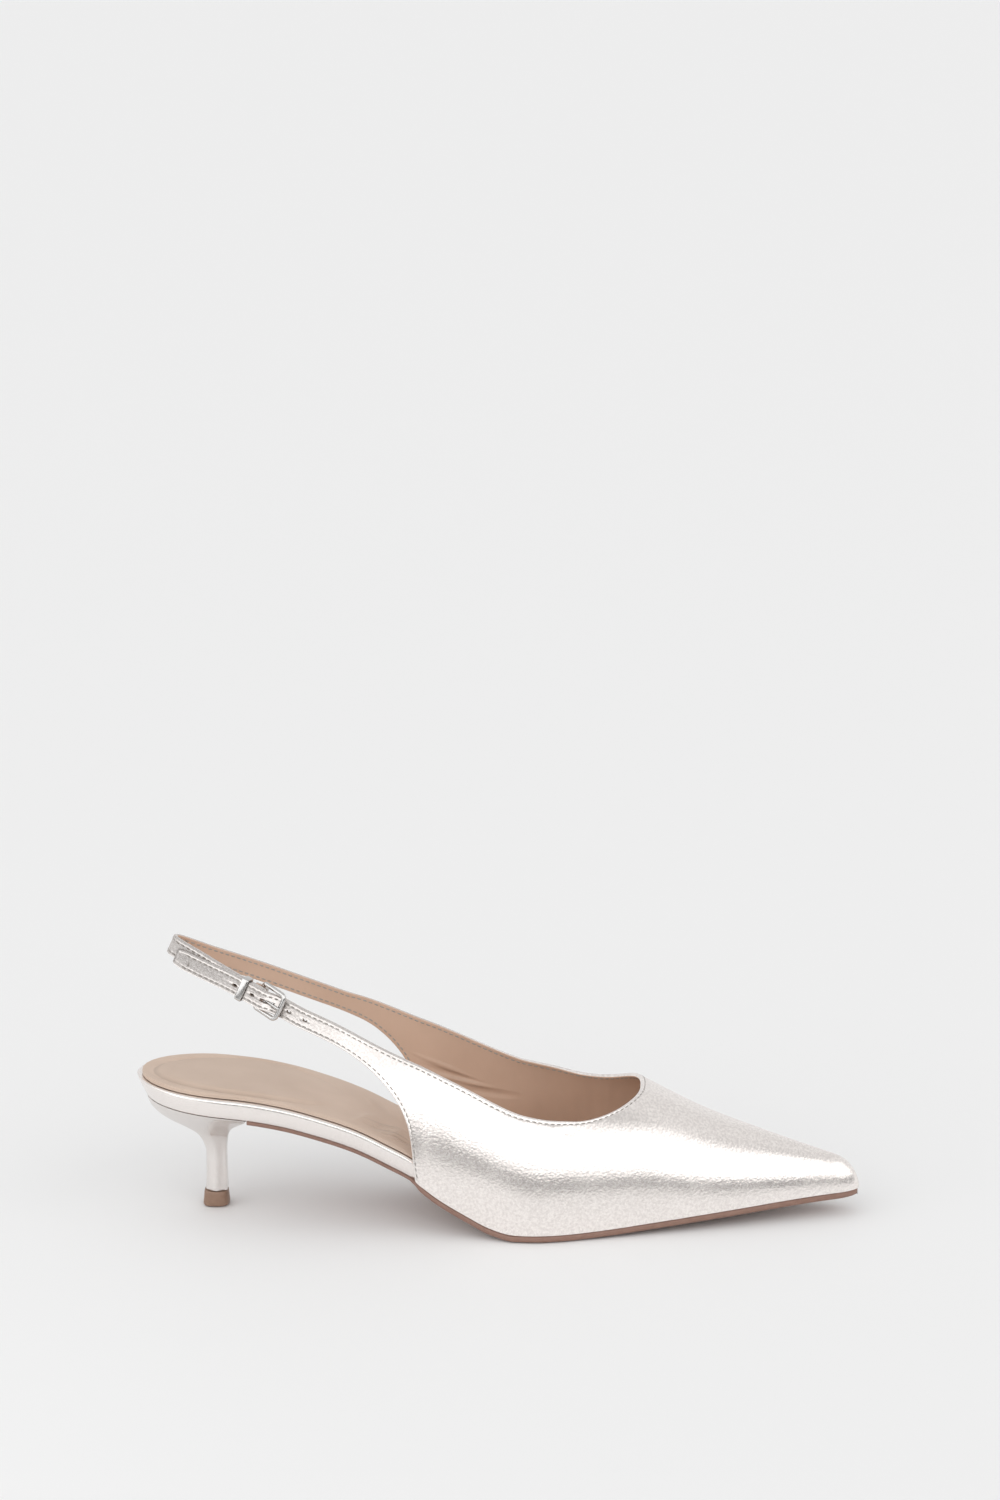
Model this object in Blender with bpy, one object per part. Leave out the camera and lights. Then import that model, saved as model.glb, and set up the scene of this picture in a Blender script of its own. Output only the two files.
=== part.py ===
"""Kitten heel slingback pump, right shoe, standing empty on its sole.

Metres, +Z up, toe towards +X, outer (lateral) side towards -Y. While the pieces are made, X runs from the
back of the seat; the last step moves the shoe so that the middle of its box on the floor is the origin.
"""

import math

import bmesh
import bpy
import numpy as np
from mathutils import Matrix

# Length and widths of the shoe
LENGTH = 0.2526
BALL_WIDTH = 0.0690
SEAT_WIDTH = 0.0496
WAIST_WIDTH = 0.0465
TOE_WIDTH = 0.0214
SEAT_ROUND = 0.030
TOE_ROUND = 0.0075
TOE_SWING = 0.0020

# Heights
SEAT_RISE = 0.0400
TOE_SPRING = 0.0064
INSTEP_HEIGHT = 0.0470
STRAP_BACK_HEIGHT = 0.0954

# Thicknesses and the gap between glued pieces
GAP = 0.0003
WALL = 0.0015
WAIST_SOLE = 0.0013
TREAD_SOLE = 0.0020
SOLE_BEVEL = 0.0005
SEAT_BOARD = 0.0068
TREAD_BOARD = 0.0034
BOARD_FLARE = 0.0034
BOARD_SIDE_FLARE = 0.0012
RIM = 0.0013
SOCK = 0.0012
BOARD_TOE_ROOM = 0.010
SOCK_TOE_ROOM = 0.024

# Opening of the upper and its wings
WING_START = 0.0986
THROAT = 0.1762
THROAT_ROUND = 0.022

# Heel and its top piece
HEEL_BREAST = 0.0400
HEEL_CENTRE = 0.0272
STEM_LENGTH = 0.0074
STEM_WIDTH = 0.0084
STEM_CLOSING = 0.36
TOP_PIECE_HEIGHT = 0.0054
TOP_PIECE_LENGTH = 0.0092
TOP_PIECE_WIDTH = 0.0098
TOP_PIECE_BEVEL = 0.0007

# Sling strap: its loop lies in a plane that rises to the back
STRAP_WIDTH = 0.0070
STRAP_SLOPE = math.radians(23.7)
STRAP_BACK = 0.0123
STRAP_END = 0.0640
PIVOT = 0.0345
KEEPER_AT = 0.0295
TAIL_END = 0.0036
FOLD_RETURN = 0.0029
TAIL_DROP = 0.0016
BUCKLE_SAG = 0.0008
HOLE_RADIUS = 0.0007
HOLE_PITCH = 0.0065
FIRST_HOLE = 0.0267
HOLES = 5
PRONG_HOLE = 2
FOLD_SLOT = 0.0022

# Buckle
BAR_RADIUS = 0.0006
FRAME_WIRE = 0.0008
FRAME_REACH = 0.0089
FRAME_RISE = 0.0024
FRAME_CORNER = 0.0016
PRONG_WIRE = 0.00045
KEEPER_WIDTH = 0.0024
KEEPER_THICK = 0.0005

# Fineness of the faceted solids
PLATE_STEPS = 38
HEEL_STEPS = 9
ACROSS = 8
VAMP_STEPS = 30
WING_STEPS = 11
TAIL_ROWS = 8
HOLE_STEPS = 6

# Plan of the insole board: place along the shoe, and the two half widths, as shares of the named width
BOARD_PLAN = [
    # along, width, lateral, medial
    (0.000, "seat", 1.00, 1.00),
    (0.110, "seat", 1.00, 1.00),
    (0.158, "seat", 1.00, 0.99),
    (0.214, "seat", 0.985, 0.965),
    (0.265, "waist", 1.07, 0.97),
    (0.317, "waist", 1.08, 0.905),
    (0.352, "waist", 1.09, 0.89),
    (0.388, "waist", 1.10, 0.90),
    (0.420, "ball", 0.795, 0.638),
    (0.459, "ball", 0.860, 0.700),
    (0.499, "ball", 0.938, 0.790),
    (0.530, "ball", 0.995, 0.875),
    (0.556, "ball", 1.000, 0.940),
    (0.586, "ball", 0.965, 0.992),
    (0.617, "ball", 0.900, 1.000),
    (0.657, "ball", 0.822, 0.940),
    (0.709, "ball", 0.718, 0.830),
    (0.768, "ball", 0.602, 0.690),
    (0.835, "ball", 0.459, 0.519),
    (0.903, "toe", 0.953, 1.047),
    (0.950, "toe", 0.580, 0.598),
    (0.978, "toe", 0.392, 0.402),
    (1.000, "toe", 0.300, 0.300),
]

# Underside of the sole: rise as a share of SEAT_RISE, spring as a share of TOE_SPRING. The drop just past
# the middle is where the upper turns in under the board; the two zeros bound the flat tread.
SOLE_LINE = [
    # along, rise, spring
    (0.000, 1.000, 0.00),
    (0.048, 0.977, 0.00),
    (0.115, 0.945, 0.00),
    (0.162, 0.915, 0.00),
    (0.202, 0.870, 0.00),
    (0.253, 0.790, 0.00),
    (0.305, 0.683, 0.00),
    (0.354, 0.535, 0.00),
    (0.384, 0.433, 0.00),
    (0.400, 0.352, 0.00),
    (0.421, 0.262, 0.00),
    (0.459, 0.136, 0.00),
    (0.497, 0.032, 0.00),
    (0.525, 0.000, 0.00),
    (0.602, 0.000, 0.00),
    (0.657, 0.000, 0.09),
    (0.713, 0.000, 0.25),
    (0.768, 0.000, 0.42),
    (0.835, 0.000, 0.62),
    (0.903, 0.000, 0.81),
    (1.000, 0.000, 1.00),
]

# Ridge of the last above the feather line, as a share of INSTEP_HEIGHT, and the fullness of its two sides.
# Behind the throat the ridge is only where the side walls would meet.
RIDGE_LINE = [
    # along, ridge, lateral_fullness, medial_fullness
    (0.250, 1.42, 0.05, 0.05),
    (0.388, 1.405, 0.10, 0.10),
    (0.432, 1.395, 0.24, 0.22),
    (0.475, 1.368, 0.38, 0.34),
    (0.526, 1.300, 0.51, 0.46),
    (0.566, 1.222, 0.59, 0.55),
    (0.604, 1.140, 0.64, 0.62),
    (0.653, 1.050, 0.66, 0.68),
    (0.697, 0.960, 0.68, 0.72),
    (0.733, 0.848, 0.73, 0.76),
    (0.776, 0.716, 0.80, 0.82),
    (0.820, 0.612, 0.86, 0.87),
    (0.864, 0.514, 0.90, 0.91),
    (0.910, 0.414, 0.93, 0.94),
    (0.955, 0.325, 0.95, 0.95),
    (0.977, 0.282, 0.95, 0.95),
    (1.000, 0.240, 0.95, 0.95),
]

# Topline as turns of the section, before the throat closes it
TOPLINE = [
    # along, lateral, medial
    (0.480, 0.494, 0.468),
    (0.520, 0.493, 0.465),
    (0.566, 0.486, 0.460),
    (0.602, 0.463, 0.451),
    (0.637, 0.440, 0.445),
    (0.665, 0.430, 0.445),
    (0.700, 0.425, 0.445),
]

# Wing edges seen from the side, as shares of LENGTH and of STRAP_BACK_HEIGHT: the cut edge at the back
# of the wing and the point of the topline across from it.
WING_EDGES = [
    # rear_along, rear_height, top_along, top_lateral, top_medial
    (0.3080, 0.650, 0.321, 0.723, 0.727),
    (0.3330, 0.600, 0.352, 0.685, 0.693),
    (0.3540, 0.540, 0.384, 0.647, 0.657),
    (0.3700, 0.472, 0.413, 0.613, 0.628),
    (0.3810, 0.395, 0.438, 0.581, 0.599),
    (0.3860, 0.310, 0.461, 0.553, 0.571),
    (0.3885, 0.225, 0.482, 0.528, 0.546),
]

# Plan of the strap loop: distance from its back along the sloping plane, and sideways, both as shares of
# the loop's length from its back to the wings (STRAP_END)
STRAP_LATERAL = [
    # back, aside
    (0.000, 0.006),
    (0.012, 0.034),
    (0.045, 0.054),
    (0.110, 0.074),
    (0.200, 0.100),
    (0.320, 0.142),
    (0.440, 0.188),
    (0.560, 0.229),
    (0.680, 0.265),
    (0.830, 0.305),
    (1.000, 0.342),
    (1.200, 0.378),
]
STRAP_MEDIAL = [
    # back, aside
    (0.000, -0.006),
    (0.012, 0.022),
    (0.045, 0.042),
    (0.110, 0.060),
    (0.200, 0.080),
    (0.320, 0.119),
    (0.440, 0.158),
    (0.560, 0.190),
    (0.680, 0.217),
    (0.830, 0.250),
    (1.000, 0.286),
    (1.200, 0.318),
]

# Heel from the top piece up: height as a share of the room under the seat, and how far its back, breast
# and sides have gone from the stem (0) to the outline of the seat (1)
HEEL_FLARE = [
    # height, back, breast, side
    (0.000, 0.00, 0.00, 0.000),
    (0.220, -0.01, -0.02, -0.010),
    (0.400, -0.01, -0.03, -0.012),
    (0.515, 0.04, -0.01, 0.020),
    (0.610, 0.13, 0.06, 0.090),
    (0.700, 0.31, 0.17, 0.230),
    (0.790, 0.54, 0.36, 0.450),
    (0.885, 0.77, 0.64, 0.710),
    (0.955, 0.92, 0.87, 0.900),
    (1.000, 1.00, 1.00, 1.000),
]

METAL_LEATHER = ("silver_leather", (0.86, 0.83, 0.79), 0.32, 0.9)
TAN_SOLE = ("sole_edge", (0.42, 0.30, 0.23), 0.6, 0.0)
TAN_SOCK = ("insole_lining", (0.66, 0.52, 0.42), 0.7, 0.0)
HEEL_TIP = ("top_piece_plastic", (0.45, 0.31, 0.22), 0.5, 0.0)
BUCKLE_METAL = ("buckle_metal", (0.80, 0.79, 0.77), 0.18, 1.0)


def clear_scene():
    for thing in list(bpy.data.objects):
        bpy.data.objects.remove(thing)


def material(name, colour, roughness, metallic):
    made = bpy.data.materials.get(name) or bpy.data.materials.new(name)
    made.use_nodes = True
    shader = made.node_tree.nodes["Principled BSDF"]
    shader.inputs["Base Color"].default_value = (*colour, 1.0)
    shader.inputs["Roughness"].default_value = roughness
    shader.inputs["Metallic"].default_value = metallic
    return made


# Curves through the tables


def smooth(xs, ys, x):
    """A curve through the rows that never overshoots them and is level where two rows are equal."""
    xs, ys, x = np.asarray(xs, float), np.asarray(ys, float), np.asarray(x, float)
    step = np.diff(xs)
    slope = np.diff(ys) / step
    tangent = np.zeros(len(xs))
    same_way = slope[:-1] * slope[1:] > 0
    before, after = 2 * step[1:] + step[:-1], step[1:] + 2 * step[:-1]
    with np.errstate(divide="ignore", invalid="ignore"):
        mean = (before + after) / (before / slope[:-1] + after / slope[1:])
    tangent[1:-1] = np.where(same_way, mean, 0.0)
    tangent[0], tangent[-1] = slope[0], slope[-1]
    place = np.clip(np.searchsorted(xs, x) - 1, 0, len(xs) - 2)
    t = np.clip((x - xs[place]) / step[place], 0.0, 1.0)
    start, end = ys[place], ys[place + 1]
    lean_in, lean_out = tangent[place] * step[place], tangent[place + 1] * step[place]
    return (
        start * (2 * t**3 - 3 * t**2 + 1)
        + lean_in * (t**3 - 2 * t**2 + t)
        + end * (3 * t**2 - 2 * t**3)
        + lean_out * (t**3 - t**2)
    )


def column(rows, number):
    return [row[number] for row in rows]


def ease(t):
    t = np.clip(t, 0.0, 1.0)
    return t * t * (3 - 2 * t)


def round_end(distance, length):
    """Half width of a rounded end, as a share, at a distance from its tip."""
    return np.sqrt(np.clip(1 - (1 - np.clip(np.asarray(distance) / length, 0, 1)) ** 2, 0, 1))


# The last: plan, underside and section


def board_rows():
    width = {"seat": SEAT_WIDTH, "waist": WAIST_WIDTH, "ball": BALL_WIDTH, "toe": TOE_WIDTH}
    along = [row[0] * LENGTH for row in BOARD_PLAN]
    lateral = [row[2] * width[row[1]] / 2 for row in BOARD_PLAN]
    medial = [row[3] * width[row[1]] / 2 for row in BOARD_PLAN]
    return along, lateral, medial


def axis_y(x):
    """The middle of the shoe in plan: it swings inwards past the ball."""
    return TOE_SWING * ease((np.asarray(x) / LENGTH - 0.58) / 0.42)


def board_half(x, side):
    """Half width of the board before its ends are rounded; side is -1 lateral, +1 medial."""
    along, lateral, medial = board_rows()
    return smooth(along, lateral if side < 0 else medial, x)


def upper_half(x, side):
    """Half width of the upper's outer face at the feather line."""
    return (board_half(x, side) + WALL + GAP) * round_end(LENGTH - x, TOE_ROUND)


def tread(x):
    """Height of the sole's underside."""
    along = [row[0] * LENGTH for row in SOLE_LINE]
    height = [row[1] * SEAT_RISE + row[2] * TOE_SPRING for row in SOLE_LINE]
    return smooth(along, height, x)


def past_wing(x, reach=0.004):
    """0 behind the wings' lower corners, 1 in front of them."""
    return ease((np.asarray(x) - WING_START + reach / 2) / reach)


def feather(x):
    """Height of the face where the sole meets the board and the upper."""
    return tread(x) + WAIST_SOLE + (TREAD_SOLE - WAIST_SOLE) * past_wing(x)


def board_thickness(x):
    share = np.asarray(x) / LENGTH
    return SEAT_BOARD + (TREAD_BOARD - SEAT_BOARD) * ease((share - 0.40) / 0.16)


def board_top(x):
    return feather(x) + GAP + board_thickness(x)


def ridge_height(x):
    """Height of the last's ridge above the feather line."""
    along = [row[0] * LENGTH for row in RIDGE_LINE]
    share = smooth(along, column(RIDGE_LINE, 1), x)
    return (share * INSTEP_HEIGHT - TREAD_SOLE) * round_end(LENGTH - x, TOE_ROUND)


def fullness(x, side):
    """How square the last's section is: 1 is an ellipse, less is squarer."""
    along = [row[0] * LENGTH for row in RIDGE_LINE]
    return float(smooth(along, column(RIDGE_LINE, 2 if side < 0 else 3), x))


def last_out(x, z, side):
    """How far the upper's outer face is from the middle of the shoe at height z."""
    share = np.clip((z - feather(x) - GAP) / ridge_height(x), 0, 1)
    return float(upper_half(x, side) * np.sqrt(1 - share**2) ** fullness(x, side))


def last_at_turn(x, turn, side):
    """A point of the upper's outer face: turn is 0 on the ridge and 1 at the feather line."""
    angle = turn * math.pi / 2
    out = float(upper_half(x, side)) * math.sin(angle) ** fullness(x, side)
    z = float(feather(x) + ridge_height(x) * math.cos(angle)) + GAP
    return np.array([x, float(axis_y(x)) + side * out, z])


def last_at_plan(x, out, side):
    """A point of the upper's outer face over a point of the plan."""
    half = max(float(upper_half(x, side)), 1e-6)
    sine = min(1.0, out / half) ** (1 / fullness(x, side))
    z = float(feather(x)) + GAP + float(ridge_height(x)) * math.sqrt(max(0.0, 1 - sine * sine))
    return np.array([x, float(axis_y(x)) + side * out, z])


def room_inside(x, z, side):
    """Half width left inside the upper's wall, a gap clear of it."""
    step = 0.0002
    here = last_out(x, z, side)
    along = (last_out(x + step, z, side) - last_out(x - step, z, side)) / (2 * step)
    upward = (last_out(x, z + step, side) - here) / step
    return here - (WALL + 1.2 * GAP) * math.sqrt(1 + along**2 + upward**2)


def topline_turn(x, side):
    """The topline's turn along the sides, closing in a half ellipse at the throat."""
    along = [row[0] * LENGTH for row in TOPLINE]
    level = float(smooth(along, column(TOPLINE, 1 if side < 0 else 2), x))
    reach = max(0.0, (x - (THROAT - THROAT_ROUND)) / THROAT_ROUND)
    return level * math.sqrt(max(0.0, 1 - reach * reach))


# The strap loop in its sloping plane


def plane_vector(forward, aside, lift=0.0):
    """A direction given in the strap's plane: forward, sideways, and across the strap."""
    slope = np.array([math.cos(STRAP_SLOPE), 0.0, -math.sin(STRAP_SLOPE)])
    upward = np.array([math.sin(STRAP_SLOPE), 0.0, math.cos(STRAP_SLOPE)])
    return forward * slope + np.array([0.0, aside, 0.0]) + lift * upward


def in_plane(point, lift=0.0):
    """A point given by its distance forward of the loop's back, sideways, and across the strap.

    The buckle's weight draws its side of the loop down a little.
    """
    low = ease((-point[1] - 0.002) / 0.008) * ease((STRAP_END - point[0]) / 0.022)
    sag = BUCKLE_SAG * float(low)
    return np.array([STRAP_BACK, 0.0, STRAP_BACK_HEIGHT]) + plane_vector(point[0], point[1], lift - sag)


def loop_aside(back, side):
    """Sideways place of the strap's outer face on one side of the loop."""
    rows = STRAP_LATERAL if side < 0 else STRAP_MEDIAL
    return side * float(smooth([r[0] * STRAP_END for r in rows], [r[1] * STRAP_END for r in rows], back))


def outward(back, side):
    """The outward direction in the strap's plane."""
    step = 0.0002
    low = max(back - step, 0.0)
    ahead = np.array([back + step - low, loop_aside(back + step, side) - loop_aside(low, side)])
    ahead /= np.linalg.norm(ahead)
    return np.array([-ahead[1], ahead[0]]) * side


def loop_point(back, side, offset=0.0):
    """A point on the strap's middle line, or an offset outward of it."""
    return np.array([back, loop_aside(back, side)]) + outward(back, side) * (offset - WALL / 2)


def fold_radius():
    """From the middle of the pivot bar to the middle of the strap folded round it."""
    return BAR_RADIUS + GAP + WALL / 2


def bar_offset():
    """Where the outer bar lies, outward of the strap's middle line."""
    return FRAME_RISE - fold_radius()


def tail_offset(back):
    """How far the buckled strap lies outward of the loop: over the folded end, then under the outer bar."""
    over = WALL + GAP
    under = bar_offset() - FRAME_WIRE - GAP - WALL / 2
    start, bar = PIVOT + fold_radius() + WALL / 2, PIVOT + FRAME_REACH - 0.0006
    if back < bar:
        return over + (under - over) * float(ease((back - start) / (bar - start)))
    return under * (1 - float(ease((back - bar - 0.001) / 0.0085)))


# Sections of the upper's outer face, each a row of points from its lower edge to its top edge


def strip_row(point, lift=0.0, share=1.0):
    half = STRAP_WIDTH / 2 * share
    return [in_plane(point, lift + v) for v in np.linspace(-half, half, ACROSS + 1)]


def tail_point(back, across):
    """A point of the buckled strap's outer face; its free end hangs a little below the sling."""
    drop = TAIL_DROP * float(ease((KEEPER_AT - back) / (KEEPER_AT - TAIL_END)))
    return in_plane(loop_point(back, -1, tail_offset(back) + WALL / 2), across - drop)


def hole_rows():
    """Rows of the punched holes among the tail's rows, and the rows of the slot that the prong goes through."""
    first = TAIL_ROWS + 1
    centres = [first + HOLE_STEPS * k for k in range(HOLES)]
    prong = centres.pop(PRONG_HOLE)
    return centres, range(prong - 3, prong + 1)


def tail_rows():
    """The buckled strap from its free end, with the grid drawn in round each punched hole."""
    step = HOLE_PITCH / HOLE_STEPS
    free = np.linspace(TAIL_END, FIRST_HOLE - step, TAIL_ROWS + 1)
    punched = FIRST_HOLE + step * np.arange(0, HOLE_STEPS * (HOLES - 1) + 3)
    last = np.linspace(punched[-1], STRAP_END, 4)[1:]
    backs = np.concatenate([free, punched, last])
    centres, _ = hole_rows()
    middle = ACROSS // 2
    rows = []
    for i, back in enumerate(backs):
        corner = 0.78 + 0.22 * float(round_end(back - TAIL_END, 0.0022))
        row = []
        for j, across in enumerate(np.linspace(-STRAP_WIDTH / 2, STRAP_WIDTH / 2, ACROSS + 1)):
            near = [c for c in centres if abs(i - c) <= 1 and abs(j - middle) <= 1]
            at, over = back, across * corner
            if near:
                turn = math.atan2(j - middle, i - near[0])
                away = HOLE_RADIUS * (i != near[0] or j != middle)
                at = FIRST_HOLE + step * (near[0] - TAIL_ROWS - 1) + away * math.cos(turn)
                over = away * math.sin(turn)
            row.append(tail_point(at, over))
        rows.append(row)
    return rows


def wing_rows(side):
    """Rows from the strap to the front of the wing."""
    strap = strip_row(loop_point(STRAP_END, side, WALL / 2))
    front = 0.503 * LENGTH
    level = 3 if side < 0 else 4
    rear = [(row[0] * LENGTH, row[1] * STRAP_BACK_HEIGHT) for row in WING_EDGES]
    top = [(row[2] * LENGTH, row[level] * STRAP_BACK_HEIGHT) for row in WING_EDGES]
    rear = [(strap[0][0], strap[0][2])] + rear + [(WING_START, float(feather(WING_START)) + GAP)]
    top = [(strap[-1][0], strap[-1][2])] + top
    top += [(front, last_at_turn(front, topline_turn(front, side), side)[2])]
    knots = np.linspace(0, 1, len(rear))
    rows = []
    for share in np.linspace(0, 1, WING_STEPS + 1)[1:]:
        low = [float(smooth(knots, [p[k] for p in rear], share)) for k in (0, 1)]
        high = [float(smooth(knots, [p[k] for p in top], share)) for k in (0, 1)]
        x, z = (np.linspace(low[k], high[k], ACROSS + 1) for k in (0, 1))
        rows.append([wall_point(float(a), float(b), side) for a, b in zip(x, z)])
    return rows


def wall_point(x, z, side):
    """A point of the side wall. Behind the wing's corner the wall leaves the last and joins the strap."""
    on_last = float(axis_y(x)) + side * last_out(x, z, side)
    on_strap = loop_aside((x - STRAP_BACK) / math.cos(STRAP_SLOPE), side)
    start, end = STRAP_END * 1.10, WING_START * 0.982
    share = float(ease((x - start) / (end - start)))
    return np.array([x, on_strap + (on_last - on_strap) * share, z])


def turn_at(x, z):
    """The turn at which the section at x reaches height z."""
    share = (z - float(feather(x)) - GAP) / float(ridge_height(x))
    return math.acos(min(1.0, max(0.0, share))) / (math.pi / 2)


def fan_row(number, side):
    """A row from the feather line to the topline: straight from the side at the wing, straight in plan in front."""
    front = 0.503 * LENGTH
    arc = math.sin(number / VAMP_STEPS * math.pi / 2)
    foot = WING_START + (LENGTH - WING_START) * arc**1.15
    top = front + (THROAT - front) * arc**1.05
    turn = topline_turn(top, side)
    z_foot, z_top = float(feather(foot)) + GAP, last_at_turn(top, turn, side)[2]
    out_top = float(upper_half(top, side)) * math.sin(turn * math.pi / 2) ** fullness(top, side)
    out_foot = float(upper_half(foot, side))
    in_front = float(ease(number / (0.6 * VAMP_STEPS)))
    row = []
    for t in np.linspace(1, 0, ACROSS + 1):
        start, here = (math.sin(a * math.pi / 2) ** 0.8 for a in (turn, turn + (1 - turn) * t))
        share = (here - start) / (1 - start)
        by_plan = last_at_plan(top + (foot - top) * share, out_top + (out_foot - out_top) * share, side)
        x_side = top + (foot - top) * t
        turn_side = turn_at(x_side, z_top + (z_foot - z_top) * t)
        x = x_side + (by_plan[0] - x_side) * in_front
        mixed = turn_side + (turn_at(by_plan[0], by_plan[2]) - turn_side) * in_front
        row.append(by_plan if in_front == 1 else last_at_turn(float(x), mixed, side))
    return row


def vamp_rows(side):
    return [fan_row(number, side) for number in range(1, VAMP_STEPS + 1)]


def sling_rows():
    """Rows of the strap from the medial wing, round the back, to the fold at the buckle."""
    places = [(back, 1) for back in np.linspace(STRAP_END, 0.006, 19)]
    places += [(back, 1) for back in (0.0042, 0.0026, 0.0013, 0.0005)]
    places += [(0.0, -1)]
    places += [(back, -1) for back in (0.0005, 0.0013, 0.0026, 0.0042)]
    places += [(back, -1) for back in np.linspace(0.006, PIVOT - FOLD_SLOT, 11)]
    places += [(PIVOT - FOLD_SLOT / 2, -1), (PIVOT, -1)]
    rows = [strip_row(loop_point(back, side, WALL / 2)) for back, side in places]
    slot_start = len(rows) - 3
    radius = fold_radius() + WALL / 2
    out = outward(PIVOT, -1)
    ahead = np.array([-out[1], out[0]])
    centre = loop_point(PIVOT, -1, -fold_radius())
    for angle in np.linspace(0, math.pi, 9)[1:]:
        rows.append(strip_row(centre + radius * (math.cos(angle) * out + math.sin(angle) * ahead)))
    closed = -WALL * 1.5 - GAP
    far = -fold_radius() - radius
    slot_end = len(rows) + 2
    for share in (0.28, 0.55, 0.78, 1.0):
        offset = far + (closed - far) * float(ease(share * 1.1))
        rows.append(strip_row(loop_point(PIVOT - FOLD_RETURN * share, -1, offset)))
    return rows, range(slot_start, slot_end)


# Mesh making


def mesh_object(name, vertices, faces, look, smooth_angle=40, place=None):
    """A solid under the shoe's empty, with its own origin at the given place."""
    place = place or Matrix.Identity(4)
    mesh = bpy.data.meshes.new(name)
    mesh.from_pydata([tuple(map(float, v)) for v in vertices], [], faces)
    working = bmesh.new()
    working.from_mesh(mesh)
    bmesh.ops.delete(working, geom=[v for v in working.verts if not v.link_faces], context="VERTS")
    bmesh.ops.triangulate(working, faces=[f for f in working.faces if len(f.verts) > 4])
    if working.calc_volume(signed=True) < 0:
        bmesh.ops.reverse_faces(working, faces=working.faces)
    working.to_mesh(mesh)
    working.free()
    mesh.shade_smooth()
    mesh.set_sharp_from_angle(angle=math.radians(smooth_angle))
    mesh.materials.append(material(*look))
    made = bpy.data.objects.new(name, mesh)
    made.parent = bpy.data.objects["shoe"]
    made.matrix_basis = place
    bpy.context.scene.collection.objects.link(made)
    return made


def loft(name, rings, look, smooth_angle=40, place=None):
    """One closed solid through rings of equal length, capped at both ends."""
    count = len(rings[0])
    faces = [tuple(reversed(range(count))), tuple((len(rings) - 1) * count + j for j in range(count))]
    for k in range(len(rings) - 1):
        for j in range(count):
            following = (j + 1) % count
            faces.append((k * count + j, k * count + following, (k + 1) * count + following, (k + 1) * count + j))
    return mesh_object(name, [point for ring in rings for point in ring], faces, look, smooth_angle, place)


def closed_sweep(name, rings, look, smooth_angle, place):
    """A ring-shaped solid: the last section joins the first."""
    count = len(rings[0])
    faces = []
    for k in range(len(rings)):
        ahead = (k + 1) % len(rings)
        for j in range(count):
            following = (j + 1) % count
            faces.append((k * count + j, k * count + following, ahead * count + following, ahead * count + j))
    return mesh_object(name, [point for ring in rings for point in ring], faces, look, smooth_angle, place)


def wall_solid(name, outer, inner, removed, look):
    """A wall between two grids of points, without the cells that are cut out of it."""
    rows, columns = outer.shape[:2]
    offset = rows * columns
    kept = {(i, j) for i in range(rows - 1) for j in range(columns - 1)} - removed
    faces = []
    for i, j in kept:
        corners = [(i, j), (i + 1, j), (i + 1, j + 1), (i, j + 1)]
        numbers = [a * columns + b for a, b in corners]
        faces.append(tuple(numbers))
        faces.append(tuple(offset + n for n in reversed(numbers)))
        for k, beside in enumerate([(i, j - 1), (i + 1, j), (i, j + 1), (i - 1, j)]):
            if beside not in kept:
                a, b = numbers[k], numbers[(k + 1) % 4]
                faces.append((b, a, offset + a, offset + b))
    points = np.concatenate([outer.reshape(-1, 3), inner.reshape(-1, 3)])
    return mesh_object(name, points, faces, look)


def inner_face(outer):
    """The inner face of the wall, one wall thickness inside the outer one."""
    normal = np.cross(np.gradient(outer, axis=0), np.gradient(outer, axis=1))
    normal /= np.linalg.norm(normal, axis=2, keepdims=True)
    return outer - normal * WALL


def plate_stations(start, end, back_round, toe_round):
    """Places along a plate, close together at its rounded ends."""
    back = start + back_round * (1 - np.cos(np.linspace(0.08, math.pi / 2, 10)[:-1]))
    toe = end - toe_round * (1 - np.cos(np.linspace(math.pi / 2, 0.12, 6)[1:]))
    middle = np.linspace(start + back_round, end - toe_round, PLATE_STEPS)
    return np.concatenate([back if back_round else [], middle, toe])


# The pieces


def both_sides(x, profile):
    """A ring at one station: the profile gives (half width, height) from the bottom up on each side."""
    ring = []
    for side, order in ((-1, 1), (1, -1)):
        for half, z in profile(side)[::order]:
            ring.append((x, float(axis_y(x)) + side * float(half), float(z)))
    return ring


def make_outsole():
    """Flush with the upper, and with the narrower underside of the board at the waist."""
    end = LENGTH - 0.0006

    def ring_at(x):
        low, high = tread(x), feather(x)

        def profile(side):
            at_waist = board_half(x, side) - BOARD_SIDE_FLARE
            at_upper = board_half(x, side) + WALL + GAP
            half = (at_waist + (at_upper - at_waist) * past_wing(x)) * round_end(end - x, TOE_ROUND)
            return [
                (half - 2.2 * SOLE_BEVEL, low),
                (half - 0.5 * SOLE_BEVEL, low + 0.6 * SOLE_BEVEL),
                (half, low + 1.4 * SOLE_BEVEL),
                (half, high),
            ]

        return both_sides(x, profile)

    return loft("outsole", [ring_at(x) for x in plate_stations(HEEL_BREAST + GAP, end, 0.0, TOE_ROUND)], TAN_SOLE)


def board_edge(x, z, side, start, inset):
    """Edge of the board and of what lies on it, kept clear of the upper's wall in front of the wings."""
    half = float((board_half(x, side) - inset) * round_end(x - start, SEAT_ROUND - inset))
    if x > WING_START - 0.006:
        half = min(half, room_inside(x, z, side))
    return half


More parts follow.
